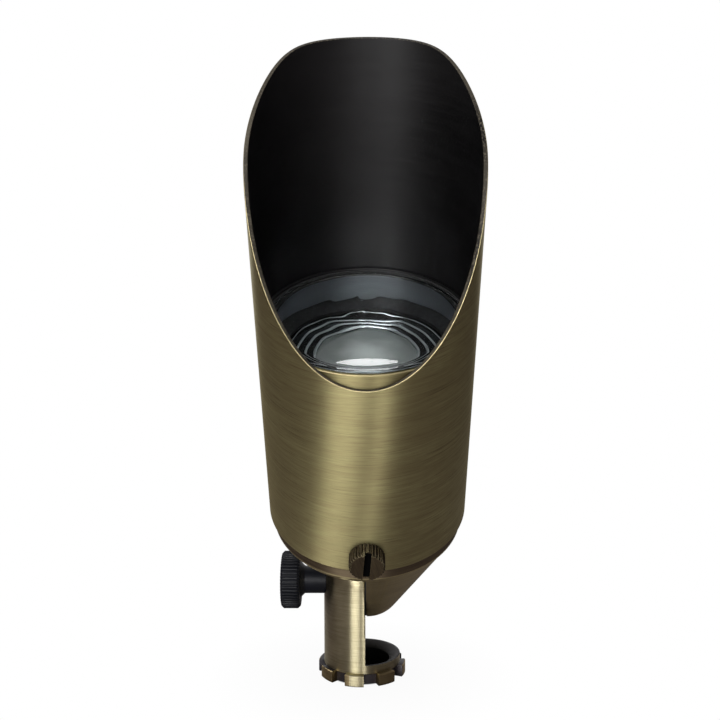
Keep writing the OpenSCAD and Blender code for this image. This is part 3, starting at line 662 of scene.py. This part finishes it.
def glass(name, place, colour, ripple):
    """Clear glass with a faint ripple in its surface."""
    material, tree, shader, spot = new_material(name, place)
    wave = add(tree, "ShaderNodeTexNoise", {"Vector": spot, "Scale": 70.0, "Detail": 1.0}).outputs["Fac"]
    feed(tree, shader.inputs["Normal"], bump(tree, wave, ripple, 1.0))
    tint = add(tree, "ShaderNodeTexNoise", {"Vector": spot, "Scale": 25.0}).outputs["Fac"]
    feed(tree, shader.inputs["Base Color"], mix(tree, tint, colour, WHITE))
    feed(tree, shader.inputs["Roughness"], remap(tree, wave, 0.3, 0.7, 0.0, 0.02))
    shader.inputs["Transmission Weight"].default_value = 1.0
    shader.inputs["IOR"].default_value = 1.5
    return material


OLIVE, BROWN = (0.53, 0.495, 0.245, 1), (0.27, 0.21, 0.105, 1)
tube_brass = brass("tube brass", HEAD, OLIVE, BROWN, grain=(0.008, 0.00024), tarnish=0.35, streaks=0.6)
# The band below the shroud: darker patina, partly painted shade where the shroud's edge shades it.
band_brass_and_shade = brass("band brass", HEAD, (0.23, 0.18, 0.11, 1), (0.12, 0.09, 0.06, 1),
                   grain=(0.016, 0.0003), wear=0.2)
cone_brass = brass("cone brass", HEAD, (0.62, 0.55, 0.31, 1), (0.35, 0.29, 0.165, 1), grain=(0.012, 0.0003))
stem_brass = brass("stem brass", STEM, (0.62, 0.57, 0.365, 1), (0.12, 0.08, 0.048, 1),
                   grain=(0.006, 0.00028), rough=(0.33, 0.41), tarnish=0.4, streaks=0.3)
# Painted shade: a browner, rougher copy of the stem's brass for every lug but the front one.
shaded_lug_brass = brass("lug brass", STEM, (0.50, 0.40, 0.22, 1), (0.28, 0.21, 0.12, 1),
                  grain=(0.006, 0.00028), rough=(0.5, 0.6), wear=0.3)
edge_brass = brass("worn edge brass", HEAD, (0.66, 0.58, 0.33, 1), BROWN, rough=(0.3, 0.4), corner_shade=0.2)
cut_edge = patina("cut edge", HEAD, (0.008, 0.007, 0.007, 1), (0.10, 0.088, 0.065, 1), rough=(0.5, 0.6),
                  metal=0.25, speckle=1.0, specular=0.15)
inner_patina = patina("inner patina", HEAD, (0.0012, 0.0012, 0.0015, 1), (0.006, 0.0058, 0.0064, 1),
                      specular=0.68)
bore_metal = patina("bore metal", HEAD, (0.50, 0.54, 0.60, 1), (0.66, 0.70, 0.76, 1), rough=(0.4, 0.5),
                    metal=1.0)
# Dark patina and painted shade between the lugs, and painted shade on the side faces of the lugs.
recess_patina_and_shade = patina("recess patina and painted shade", STEM, (0.012, 0.010, 0.013, 1), (0.04, 0.032, 0.035, 1))
# The bowl: patina at its rim, painted shade darkening towards its hole.
bowl_patina_and_shade = depth_shaded_patina("bowl patina and painted shade", STEM, 4.3, 6.8, (0.002, 0.002, 0.002, 1), (0.050, 0.048, 0.048, 1))
FACE = THUMB @ Matrix.Rotation(math.radians(14), 4, "Z") @ Matrix.Rotation(math.radians(90), 4, "Y")
thumb_face = brass("thumb screw face", FACE, (0.30, 0.25, 0.14, 1), (0.10, 0.075, 0.05, 1),
                   grain=(0.006, 0.00016), wear=0.4, streaks=0.7, anisotropy=0.7)
thumb_side = brass("thumb screw side", THUMB, (0.10, 0.078, 0.048, 1), (0.03, 0.022, 0.016, 1),
                   grain=(0.004, 0.00012), wear=0.5, corner_shade=0.95)
# Painted shade: the slot painted near black.
slot_painted_shade = plain("slot black", THUMB, (0.003, 0.003, 0.003, 1), (0.0015, 0.0015, 0.0015, 1), (0.8, 0.9),
                   specular=0.05)
knob_black = plain("knob black", KNOB, (0.006, 0.007, 0.011, 1), (0.003, 0.0035, 0.005, 1), (0.38, 0.5),
                   specular=0.25)
rubber = plain("black rubber", HEAD, (0.022, 0.022, 0.023, 1), (0.012, 0.012, 0.012, 1), (0.6, 0.8))
satin_steel = plain("satin steel", HEAD, (0.62, 0.62, 0.63, 1), (0.45, 0.45, 0.46, 1), (0.25, 0.4), metal=1.0)
mirror = plain("mirror coat", HEAD, (0.86, 0.87, 0.90, 1), (0.74, 0.75, 0.79, 1), (0.04, 0.10), metal=1.0,
               depth=1e-6)
# Painted highlight: a pale spot in the middle of the cover.
cover_satin_with_highlight = satin_with_painted_highlight("cover satin", HEAD, (0.92, 0.96, 0.93, 1), (0.30, 0.335, 0.32, 1),
                      reach=0.011, rough=(0.30, 0.38), metal=0.6)
# Painted highlight on the ribs' crests and painted shade in the valleys.
cover_rib_highlight = plain("cover rib", HEAD, (0.62, 0.66, 0.68, 1), (0.48, 0.52, 0.54, 1), (0.10, 0.2), metal=0.6)
cover_valley_shade = plain("cover valley", HEAD, (0.010, 0.012, 0.013, 1), (0.006, 0.007, 0.008, 1), (0.1, 0.2))
ceramic = plain("ceramic", HEAD, (0.80, 0.77, 0.70, 1), (0.66, 0.62, 0.55, 1), (0.5, 0.7))
lead_sleeve = plain("lead sleeve", HEAD, (0.62, 0.58, 0.50, 1), (0.48, 0.44, 0.38, 1), (0.5, 0.7))
lens_glass = glass("lens glass", HEAD, (0.93, 0.98, 0.98, 1), 3e-6)
lamp_glass = glass("lamp glass", HEAD, (0.96, 0.98, 0.99, 1), 4e-6)


# Sizes read from the model, in millimetres

tube_r, tube_low, tube_high = span("shroud", HEAD)
housing_r, housing_low, rim_z = span("housing", HEAD)
lens_r, lens_low, lens_high = span("lens", HEAD)
gasket_r, gasket_low, gasket_high = span("lens_gasket", HEAD)
reflector_r, reflector_low, reflector_high = span("lamp_reflector", HEAD)
knob_r, knob_low, knob_high = span("tilt_knob", KNOB)
thumb_r, thumb_low, thumb_high = span("shroud_screw", THUMB)


# Shroud

tube_wall = 1.2
foot_round = 0.4
mouth_round = 0.25
square_lip = 1.0
front_length = 65.8
knee_rise_share = 0.703
knee_y_share = 0.043
brow_y_share = 0.798
knee_blend = 2.9
brow_blend = 7.5
straight_height = 20.0
mouth_height = 30.0


def make_shroud():
    """The tube with its scooped mouth: brushed outside, dark inside, worn bright on the cut edge."""
    inner_r = tube_r - tube_wall
    top = tube_low + front_length
    section = rounded([
        (inner_r, tube_low, foot_round / 2), (tube_r, tube_low, foot_round),
        (tube_r, top, mouth_round), (inner_r, top, mouth_round)])
    tube = turned("shroud_tube", section, tube_brass, segments=384, tree=SCOOPED, values={
        "Radius": tube_r, "Front Length": top, "Full Length": tube_high,
        "Knee Y": knee_y_share * tube_r, "Knee Height": top + knee_rise_share * (tube_high - top),
        "Brow Y": brow_y_share * tube_r, "Knee Blend": knee_blend, "Brow Blend": brow_blend,
        "Straight Height": tube_low + straight_height, "Rim Height": top - square_lip})
    middle_r = tube_r - tube_wall / 2

    def finish(middle, normal):
        """0 outside, 1 inside, 2 the outer corner of the cut, 3 the cut."""
        outwards = normal.dot(Vector((middle.x, middle.y, 0)).normalized())
        if middle.z > tube_low + mouth_height and abs(outwards) < 0.9:
            return 2 if outwards > 0.3 else 3
        return 0 if math.hypot(middle.x, middle.y) > middle_r else 1

    repaint(tube, finish, tube_brass, inner_patina, edge_brass, cut_edge)
    return set_piece(tube, HEAD, "shroud", "brushed_brass", "shroud")


# Housing, gasket and lens

housing_wall = 2.85
seat_wall = 1.15
seat_depth = 5.0
floor_low = 6.0
floor_thick = 2.5
floor_hole_r = 18.0
foot_bevel = 0.6
rubbed_width = 0.55
groove_depth = 1.3
groove_width = 1.5
ring_drops = (14.5, 26.5)


def make_housing():
    """The turned housing with the lens seat, two ring grooves and its floor."""
    bore_r = housing_r - housing_wall
    seat_r = housing_r - seat_wall
    grooves = []
    for drop in reversed(ring_drops):
        low, high = rim_z - drop - groove_width / 2, rim_z - drop + groove_width / 2
        groove_r = housing_r - groove_depth
        grooves += [(housing_r, low), (groove_r, low), (groove_r, high), (housing_r, high)]
    band_low = housing_low + foot_bevel + rubbed_width
    floor_under = housing_low + floor_low
    floor_top = floor_under + floor_thick
    seat_z = rim_z - seat_depth
    section = rounded([
        (bore_r, housing_low, 0.2), (housing_r - foot_bevel, housing_low),
        (housing_r, housing_low + foot_bevel, 0.1), (housing_r, band_low), (housing_r, tube_low), *grooves,
        (housing_r, rim_z, 0.35), (seat_r, rim_z, 0.25), (seat_r, seat_z), (bore_r, seat_z, 0.2),
        (bore_r, reflector_high), (bore_r, floor_top), (floor_hole_r, floor_top, 0.3),
        (floor_hole_r, floor_under, 0.3), (bore_r, floor_under)])
    body = turned("housing_shell", section, tube_brass)

    def finish(middle, normal):
        """0 turned side, 1 inside and back of the rim, 2 worn edges, 3 band below the shroud, darker patina
        and painted shade, 4 bore behind the lens.
        """
        if math.hypot(middle.x, middle.y) < seat_r + 0.1:
            return 4 if abs(normal.z) < 0.2 and reflector_high < middle.z < lens_low else 1
        if middle.z > rim_z - 1.0 and middle.y > 0:
            return 1
        if 0.2 < abs(normal.z) < 0.97 or middle.z < band_low:
            return 2
        return 3 if middle.z < tube_low else 0

    repaint(body, finish, tube_brass, inner_patina, edge_brass, band_brass_and_shade, bore_metal)
    return set_piece(body, HEAD, "head", "brushed_brass", "housing")


lens_margin = 2.6
dome_skirt = 1.0
lens_edge = 3.3
lens_middle = 4.6
dome_steps = 40
ripple_height = 0.012
upper_ripple_share = 0.4


def make_lens():
    """Thick convex glass: a domed top, a hollowed underside and a slow uneven ripple in both."""
    edge_top = lens_low + lens_edge
    dome_r = lens_r - lens_margin
    rise = lens_high - edge_top
    hollow = lens_high - lens_middle - lens_low

    def dome(base, height, outward):
        """Half of a dome's section, run from the axis outwards or back to it."""
        ball = (dome_r ** 2 + height ** 2) / (2 * height)
        half = math.degrees(math.asin(dome_r / ball))
        turns = (90, 90 - half) if outward else (90 - half, 90)
        return arc((0, base + height - ball), ball, *turns, dome_steps)

    margin_r = dome_r + dome_skirt
    section = dome(lens_low, hollow, True)
    section += rounded([
        (margin_r, lens_low), (lens_r, lens_low, 0.3), (lens_r, edge_top, 0.3), (margin_r, edge_top)])
    section += dome(edge_top, rise, False)
    lens = turned("lens_glass", section, lens_glass, segments=192)
    for v in lens.data.vertices:
        radius, turn = math.hypot(v.co.x, v.co.y), math.atan2(v.co.y, v.co.x)
        if radius < dome_r:
            fade = (1 - (radius / dome_r) ** 2) ** 2
            rings = math.sin(radius * 0.9 + 1.3 * math.sin(3 * turn + 0.4))
            wave = rings + 0.6 * math.sin(5 * turn + radius * 0.35)
            side = upper_ripple_share if v.co.z > lens_low + hollow else 1.0
            v.co.z += ripple_height * fade * wave * side * min(1.0, radius / 6)
    return set_piece(lens, HEAD, "head", "clear_glass", "lens", sharp=math.radians(50))


gasket_lip = 0.6
gasket_thick = 1.2
gasket_overhang = 0.96


def make_gasket():
    """The black ring under the lens with its thin lip."""
    inner_r = housing_r - housing_wall - gasket_overhang
    lip_r = gasket_r - gasket_lip
    base = gasket_low + gasket_thick
    section = rounded([
        (inner_r, gasket_low, 0.3), (gasket_r, gasket_low), (gasket_r, gasket_high, 0.2),
        (lip_r, gasket_high, 0.2), (lip_r, base), (inner_r, base, 0.3)])
    ring = turned("lens_gasket_ring", section, rubber, segments=192)
    return set_piece(ring, HEAD, "head", "black_rubber", "lens_gasket")


# Cone and stem

def make_cone():
    """The rear cone with the knuckle's half ball, its edges broken and its wiring pocket dark."""
    cone = from_node("cone_body", "rear_cone", HEAD, bevel=0.3)
    cavity_r, pocket_z, shelf_z = 19.2, 16.9, 29.7

    def finish(middle, normal):
        """1 in the pocket, but for its end walls and ceiling, and 0 elsewhere."""
        inside = math.hypot(middle.x, middle.y) < cavity_r and middle.z > pocket_z
        return 1 if inside and not (normal.x < -0.9 or middle.z < shelf_z and normal.z < -0.9) else 0

    repaint(cone, finish, cone_brass, inner_patina)
    return set_piece(cone, HEAD, "head", "brushed_brass", "rear_cone")


def make_stem():
    """The half-round stem on its castellated base, with painted shade in the bowl, dark patina and painted
    shade between the lugs, and painted shade on the lugs but the front one.
    """
    stem = from_node("stem_body", "stem", STEM, bevel=0.07)
    core_r, rim_r, lug_top, rim_top, front_lug = 12.6, 12.4, 4.1, 6.7, 4.0

    def finish(middle, normal):
        """0 the stem, the collar and the front lug; 1 between the lugs (dark patina and painted shade) and
        the side faces of the other lugs (painted shade); 2 the bowl (painted shade with depth); 3 the other
        lugs, a browner copy of the brass as painted shade.
        """
        radius = math.hypot(middle.x, middle.y)
        if radius < rim_r and 0.05 < middle.z < rim_top and not (normal.x > 0.9 and middle.z > lug_top):
            return 2
        if middle.z > lug_top or middle.y < -core_r and abs(middle.x) < front_lug:
            return 0
        facing_out = normal.x * middle.x + normal.y * middle.y > 0.7 * radius
        return 3 if radius > core_r and (facing_out or abs(middle.x) < 0.8 * core_r) else 1

    repaint(stem, finish, stem_brass, recess_patina_and_shade, bowl_patina_and_shade, shaded_lug_brass)
    return set_piece(stem, STEM, "base", "brushed_brass", "stem", true_walls=True)


# Knurled heads

def ridge_bar(radius, depth, width, low, high, bevel):
    """One knurl ridge along Z at +X: a rounded crest, sunk into the core, with sloping ends."""
    profile = [(-0.5, -0.6), (-0.42, 0.35), (-0.22, 0.86), (0, 1), (0.22, 0.86), (0.42, 0.35), (0.5, -0.6)]
    rings = []
    for z, drop in ((low, bevel), (low + bevel, 0.0), (high - bevel, 0.0), (high, bevel)):
        rings.append([(radius - depth + depth * up - drop, side * width, z) for side, up in profile])
    count = len(profile)
    points = [p for ring in rings for p in ring]
    faces = [(k * count + i, k * count + i + 1, (k + 1) * count + i + 1, (k + 1) * count + i)
             for k in range(len(rings) - 1) for i in range(count - 1)]
    faces += [(k * count, (k + 1) * count, (k + 1) * count + count - 1, k * count + count - 1)
              for k in range(len(rings) - 1)]
    faces += [tuple(range(count)), tuple(range(len(points) - count, len(points)))]
    return points, faces


knob_ridges = 50
knob_ridge_depth = 0.5
knob_head = 6.5
knob_bevel = 0.8
neck_r = 4.7
stud_hole_r = 2.5
dish_r = 7.9
dish_depth = 0.6
shoulder_size = 1.5
stud_seat = 2.5


def make_knob():
    """The black knob: fine straight ridges, a dished face, a sloping shoulder and a neck."""
    low, high = knob_low, knob_high
    shoulder = low + knob_head
    core_r = knob_r - knob_ridge_depth
    section = rounded([
        (0, low + dish_depth), (dish_r, low + dish_depth, 0.3), (dish_r + 0.15, low, 0.25),
        (core_r - knob_bevel + 0.2, low, 0.3), (core_r, low + knob_bevel, 0.3),
        (core_r, shoulder - knob_bevel, 0.3), (core_r - knob_bevel + 0.2, shoulder, 0.3),
        (neck_r + shoulder_size, shoulder, 0.2), (neck_r, shoulder + shoulder_size, 0.6),
        (neck_r, high, 0.25), (stud_hole_r, high), (stud_hole_r, low + stud_seat), (0, low + stud_seat)])
    core = turned("knob_core", section, knob_black, segments=150)
    pitch = 2 * math.pi * knob_r / knob_ridges
    points, faces = ridge_bar(knob_r, knob_ridge_depth, pitch * 0.74, low, shoulder, knob_bevel)
    ridges = copied("knob_ridges", points, faces, knob_ridges, knob_black)
    knob = joined("tilt_knob_head", core, ridges)
    return set_piece(knob, KNOB, "tilt_knob", "black_knob", "tilt_knob")


thumb_head = 5.2
thumb_ridges = 30
thumb_ridge_depth = 0.4
thumb_bevel = 0.4
slot_width = 2.0
slot_depth = 1.4
slot_turn = 4.0
shank_r = 2.45


def make_thumb_screw():
    """The shroud's thumb screw: thirty ridges round a slotted, brushed face."""
    high = thumb_high
    low = high - thumb_head
    core_r = thumb_r - thumb_ridge_depth
    section = rounded([
        (0, thumb_low), (shank_r, thumb_low, 0.2), (shank_r, low), (core_r - thumb_bevel, low, 0.1),
        (core_r, low + thumb_bevel, 0.1), (core_r, high - thumb_bevel, 0.15),
        (core_r - thumb_bevel * 0.6, high, 0.15), (0, high)])
    core = turned("thumb_core", section, thumb_side, segments=120)
    pitch = 2 * math.pi * thumb_r / thumb_ridges
    points, faces = ridge_bar(thumb_r, thumb_ridge_depth, pitch * 0.72, low, high, thumb_bevel)
    ridges = copied("thumb_ridges", points, faces, thumb_ridges, thumb_side)
    screw = joined("shroud_thumb_screw", core, ridges)
    half, reach = slot_width / 2, thumb_r + 1
    box = [(x, y, z) for x in (-half, half) for y in (-reach, reach) for z in (high - slot_depth, high + 1)]
    cutter = mesh_object("slot_cutter", box, [
        (0, 1, 3, 2), (4, 6, 7, 5), (0, 4, 5, 1), (2, 3, 7, 6), (0, 2, 6, 4), (1, 5, 7, 3)])
    cutter.data.transform(Matrix.Rotation(math.radians(-slot_turn), 4, "Z"))
    clean(cutter)
    cut = screw.modifiers.new("slot", "BOOLEAN")
    cut.operation, cut.solver, cut.object, cut.use_self = "DIFFERENCE", "EXACT", cutter, True
    bake_modifiers(screw)
    bpy.data.objects.remove(cutter)

    def finish(middle, normal):
        """0 the face, 1 the side and shank, 2 the slot, painted black as shade."""
        if math.hypot(middle.x, middle.y) < core_r - thumb_bevel and low < middle.z < high - 0.05:
            return 2
        return 0 if normal.z > 0.7 else 1

    repaint(screw, finish, thumb_face, thumb_side, slot_painted_shade)
    return set_piece(screw, THUMB, "shroud_screw", "dark_brass", "shroud_screw", straight=True)


# Lamp

facet_columns = 40
facet_rows = 11
glass_wall = 1.2
neck_bore_r, neck_r_outside, neck_length = 6.0, 9.0, 6.0
mouth_drop = 1.4
rim_height = 2.5
back_drop = 0.6
row_growth = 1.7
facet_stand = 0.25
facet_thick = 0.2
facet_bulge_share = 0.06
facet_lift = 0.02
cover_drop = 0.3
cover_thick = 1.1
rib_rs = (0.5, 0.45, 0.38, 0.2)
rib_pitch = 2.6
rib_steps = 8
crest_rise = 0.1
middle_rings = 8
cover_margin = 2.85
cover_middle_r = reflector_r - cover_margin - rib_pitch * (len(rib_rs) - 1)
lobe_share = 0.006


def make_cover():
    """The lamp's pressed cover: a satin middle with a painted highlight, and four uneven round ribs, their
    crests painted light as highlights, with valleys between painted dark as shade.
    """
    top = reflector_high - cover_drop
    outer_r = reflector_r - glass_wall
    centres = [cover_middle_r + rib_pitch * k for k in range(len(rib_rs))]
    section = [(0, top - cover_thick), (outer_r, top - cover_thick), (outer_r, top)]
    for r, size in reversed(list(zip(centres, rib_rs))):
        section += arc((r, top), size, 0, 180, rib_steps)
    section += [(centres[0] * k / middle_rings, top) for k in reversed(range(middle_rings))]
    cover = turned("lamp_cover_glass", section, cover_satin_with_highlight, segments=192)

    def finish(middle, normal):
        """0 the satin middle with its painted highlight, 1 the ribs' crests, painted highlights, 2 the
        valleys and the back, painted shade.
        """
        if middle.z < top - 0.01:
            return 2
        if math.hypot(middle.x, middle.y) < centres[0] - rib_rs[0]:
            return 0
        return 1 if middle.z > top + crest_rise else 2

    repaint(cover, finish, cover_satin_with_highlight, cover_rib_highlight, cover_valley_shade)
    for v in cover.data.vertices:
        radius, turn = math.hypot(v.co.x, v.co.y), math.atan2(v.co.y, v.co.x)
        lobes = math.sin(8 * turn + 0.7) + 0.6 * math.sin(5 * turn + 2.1) + 0.4 * math.sin(13 * turn)
        share = min(1.0, radius / cover_middle_r) * max(0.0, min(1.0, outer_r - radius))
        v.co.x *= 1 + lobe_share * lobes * share
        v.co.y *= 1 + lobe_share * lobes * share
    return set_piece(cover, HEAD, "head", "clear_glass", "lamp_cover", sharp=math.radians(50))


def make_reflector():
    """The lamp's glass reflector, its inside set with flat mirror facets."""
    foot_z = reflector_low + neck_length
    mouth_r, mouth_z = reflector_r - glass_wall, reflector_high - mouth_drop
    ratio = (mouth_r / neck_bore_r) ** 2
    vertex = (foot_z * ratio - mouth_z) / (ratio - 1)

    def dish_r(z):
        """Radius of the mirror's parabola at a height."""
        return mouth_r * math.sqrt((z - vertex) / (mouth_z - vertex))

    heights = [foot_z + (mouth_z - foot_z) * (k / facet_rows) ** row_growth for k in range(facet_rows + 1)]
    inside = [(dish_r(z) + facet_stand, z) for z in reversed(heights)]
    outside = [(max(dish_r(z) + glass_wall, neck_r_outside), z - back_drop) for z in heights[1:-1]]
    section = [(neck_bore_r, reflector_low), (neck_r_outside, reflector_low), *outside,
               (reflector_r, reflector_high - rim_height), (reflector_r, reflector_high),
               (mouth_r + facet_stand, reflector_high), *inside]
    bowl = turned("reflector_bowl", section, mirror, segments=120)
    half = math.pi / facet_columns
    points, faces = [], []
    for k in range(facet_rows):
        z0, z1 = heights[k], heights[k + 1]
        middle = (z0 + z1) / 2
        corners = [(dish_r(z), side * dish_r(z) * math.tan(half), z) for z in (z0, z1) for side in (-1, 1)]
        peak = (dish_r(middle) - facet_bulge_share * dish_r(middle) * half, 0.0, middle + facet_lift)
        back = [(x + facet_thick, y, z) for x, y, z in corners]
        base = len(points)
        points += corners + [peak] + back
        faces += [tuple(base + i for i in f) for f in (
            (0, 1, 4), (1, 3, 4), (3, 2, 4), (2, 0, 4), (5, 7, 8, 6),
            (0, 5, 6, 1), (1, 6, 8, 3), (3, 8, 7, 2), (2, 7, 5, 0))]
    facets = copied("reflector_facets", points, faces, facet_columns, mirror)
    reflector = joined("lamp_reflector_dish", bowl, facets)
    return set_piece(reflector, HEAD, "head", "mirror_coat", "lamp_reflector", sharp=math.radians(12))


def finish_nodes():
    """The hidden and small nodes keep their CAD shape and get their finish."""
    finishes = {
        "pivot_washer": rubber, "tilt_screw": satin_steel, "cone_seal": rubber, "cone_screws": satin_steel,
        "cord_grommet": rubber, "lamp_ring": rubber, "lamp_capsule": lamp_glass,
        "lamp_base": ceramic, "lamp_pins": satin_steel, "lamp_socket": ceramic, "socket_bracket": satin_steel,
        "socket_screws": satin_steel, "lamp_leads": lead_sleeve, "shroud_o_rings": rubber,
    }
    for name, material in finishes.items():
        for item in nodes[name].material_slots:
            item.link = "OBJECT"
            item.material = material


make_shroud()
make_housing()
make_lens()
make_gasket()
make_cone()
make_stem()
make_knob()
make_thumb_screw()
make_reflector()
make_cover()
finish_nodes()


# Camera, fitted to the tube: its place is given in the head's frame

LENS, SENSOR = 45.95, 36
CAMERA_SPOT = (1.060, -226.930, 239.627)
CAMERA_TURN = math.radians(-0.75131)
CAMERA_DOWN = math.radians(33.14059)
CAMERA_ROLL = math.radians(-0.56180)


def make_camera():
    """The camera at the photograph's viewing angle."""
    data = bpy.data.cameras.new("camera")
    data.lens, data.sensor_width = LENS, SENSOR
    data.clip_start, data.clip_end = 0.01, 20
    look = Vector((
        math.sin(CAMERA_TURN) * math.cos(CAMERA_DOWN), math.cos(CAMERA_TURN) * math.cos(CAMERA_DOWN),
        -math.sin(CAMERA_DOWN)))
    right = Vector((math.cos(CAMERA_TURN), -math.sin(CAMERA_TURN), 0))
    up = right.cross(look)
    rolled_right = math.cos(CAMERA_ROLL) * right + math.sin(CAMERA_ROLL) * up
    rolled_up = -math.sin(CAMERA_ROLL) * right + math.cos(CAMERA_ROLL) * up
    turn = Matrix((rolled_right, rolled_up, -look)).transposed().to_4x4()
    camera = bpy.data.objects.new("camera", data)
    bpy.context.scene.collection.objects.link(camera)
    camera.matrix_world = HEAD @ Matrix.Translation(Vector(CAMERA_SPOT) * MM) @ turn
    bpy.context.scene.camera = camera


# Studio

def sees_backdrop(tree):
    """1 for the camera's rays and for those that pass through glass."""
    rays = add(tree, "ShaderNodeLightPath").outputs
    return calc(tree, "MAXIMUM", rays["Is Camera Ray"], rays["Is Transmission Ray"])


BACKDROP_FROM, BACKDROP_FULL = 0.45, 0.95
CEILING_FROM, CEILING_FULL, CEILING_SHARE = 0.2, 1.0, 0.7
LEFT, RIGHT, RIGHT_SHARE = -0.8, 0.9, 0.4


def make_world():
    """White to the camera, through glass and to metal that mirrors the backdrop; a dim room elsewhere."""
    world = bpy.data.worlds.new("studio")
    world.use_nodes = True
    tree = world.node_tree
    direction = add(tree, "ShaderNodeTexCoord").outputs["Generated"]
    way = add(tree, "ShaderNodeSeparateXYZ", {0: direction}).outputs
    behind = remap(tree, way["Y"], BACKDROP_FROM, BACKDROP_FULL, smooth=True)
    above = remap(tree, way["Z"], CEILING_FROM, CEILING_FULL, 0.0, CEILING_SHARE, smooth=True)
    rightwards = remap(tree, way["X"], LEFT, RIGHT, smooth=True)
    walls = mix(tree, rightwards, (0.098, 0.070, 0.053, 1), (0.032, 0.022, 0.017, 1))
    fall = remap(tree, rightwards, 0.0, 1.0, 1.0, RIGHT_SHARE)
    share = calc(tree, "MULTIPLY", calc(tree, "MAXIMUM", behind, above), fall)
    room = mix(tree, share, walls, (0.80, 0.78, 0.82, 1))
    mirrored = calc(tree, "MULTIPLY", add(tree, "ShaderNodeLightPath").outputs["Is Glossy Ray"], share)
    white = calc(tree, "MAXIMUM", sees_backdrop(tree), mirrored)
    feed(tree, tree.nodes["Background"].inputs["Color"], mix(tree, white, room, WHITE))
    bpy.context.scene.world = world


FLOOR_R, FLOOR_SIDES, FLOOR_DROP = 2.5, 96, 0.0002
PAINTED_SHADE_R, PAINTED_SHADE_EDGE_R = 0.0115, 0.0125
SHADOW_R, SHADOW_END_R, SHADOW_SHARE = 0.015, 0.055, 0.96


def make_floor():
    """Pale floor: white to the camera further off, the object's shadow near it, and painted shade under the
    base.
    """
    turns = [2 * math.pi * k / FLOOR_SIDES for k in range(FLOOR_SIDES)]
    points = [(FLOOR_R * math.cos(t), FLOOR_R * math.sin(t), -FLOOR_DROP) for t in turns]
    floor = mesh_object("floor", points, [tuple(range(FLOOR_SIDES))])
    material = bpy.data.materials.new("floor")
    material.use_nodes = True
    tree = material.node_tree
    tree.nodes.clear()
    spot = add(tree, "ShaderNodeTexCoord").outputs["Object"]
    reach = vector_calc(tree, "LENGTH", spot)
    # Painted shade: the floor turns near black inside the base's hole.
    clear = remap(tree, reach, PAINTED_SHADE_R, PAINTED_SHADE_EDGE_R)
    colour = mix(tree, clear, (0.004, 0.004, 0.004, 1), (0.29, 0.265, 0.27, 1))
    paper = add(tree, "ShaderNodeBsdfDiffuse", {"Color": colour}).outputs[0]
    lit = add(tree, "ShaderNodeEmission", {"Color": WHITE, "Strength": 1.0}).outputs[0]
    far = remap(tree, reach, SHADOW_R, SHADOW_END_R, SHADOW_SHARE, 1.0)
    share = calc(tree, "MULTIPLY", sees_backdrop(tree), calc(tree, "MULTIPLY", clear, far))
    both = add(tree, "ShaderNodeMixShader", {0: share, 1: paper, 2: lit}).outputs[0]
    add(tree, "ShaderNodeOutputMaterial", {"Surface": both})
    floor.data.materials.append(material)


MIDDLE = Vector((0, -0.02, 0.1))


def softbox(name, azimuth, elevation, width, height, strength, distance=0.9):
    """A soft rectangular lamp that faces the middle of the object; azimuth 0 is in front."""
    data = bpy.data.lights.new(name, "AREA")
    data.shape, data.size, data.size_y = "RECTANGLE", width, height
    data.energy = strength * math.pi * width * height
    lamp = bpy.data.objects.new(name, data)
    bpy.context.scene.collection.objects.link(lamp)
    a, e = math.radians(azimuth), math.radians(elevation)
    back = Vector((math.sin(a) * math.cos(e), -math.cos(a) * math.cos(e), math.sin(e)))
    lamp.location = MIDDLE + back * distance
    lamp.rotation_mode = "QUATERNION"
    lamp.rotation_quaternion = (-back).to_track_quat("-Z", "Y")
    lamp.visible_camera = False


make_camera()
make_world()
make_floor()
softbox("key", azimuth=-20.5, elevation=8, width=0.38, height=0.45, strength=9.0)
softbox("second", azimuth=6.0, elevation=8, width=0.12, height=0.45, strength=11.0)
softbox("overhead", azimuth=1, elevation=68, width=0.44, height=0.10, strength=14.0)

bpy.context.scene.view_settings.view_transform = "Standard"
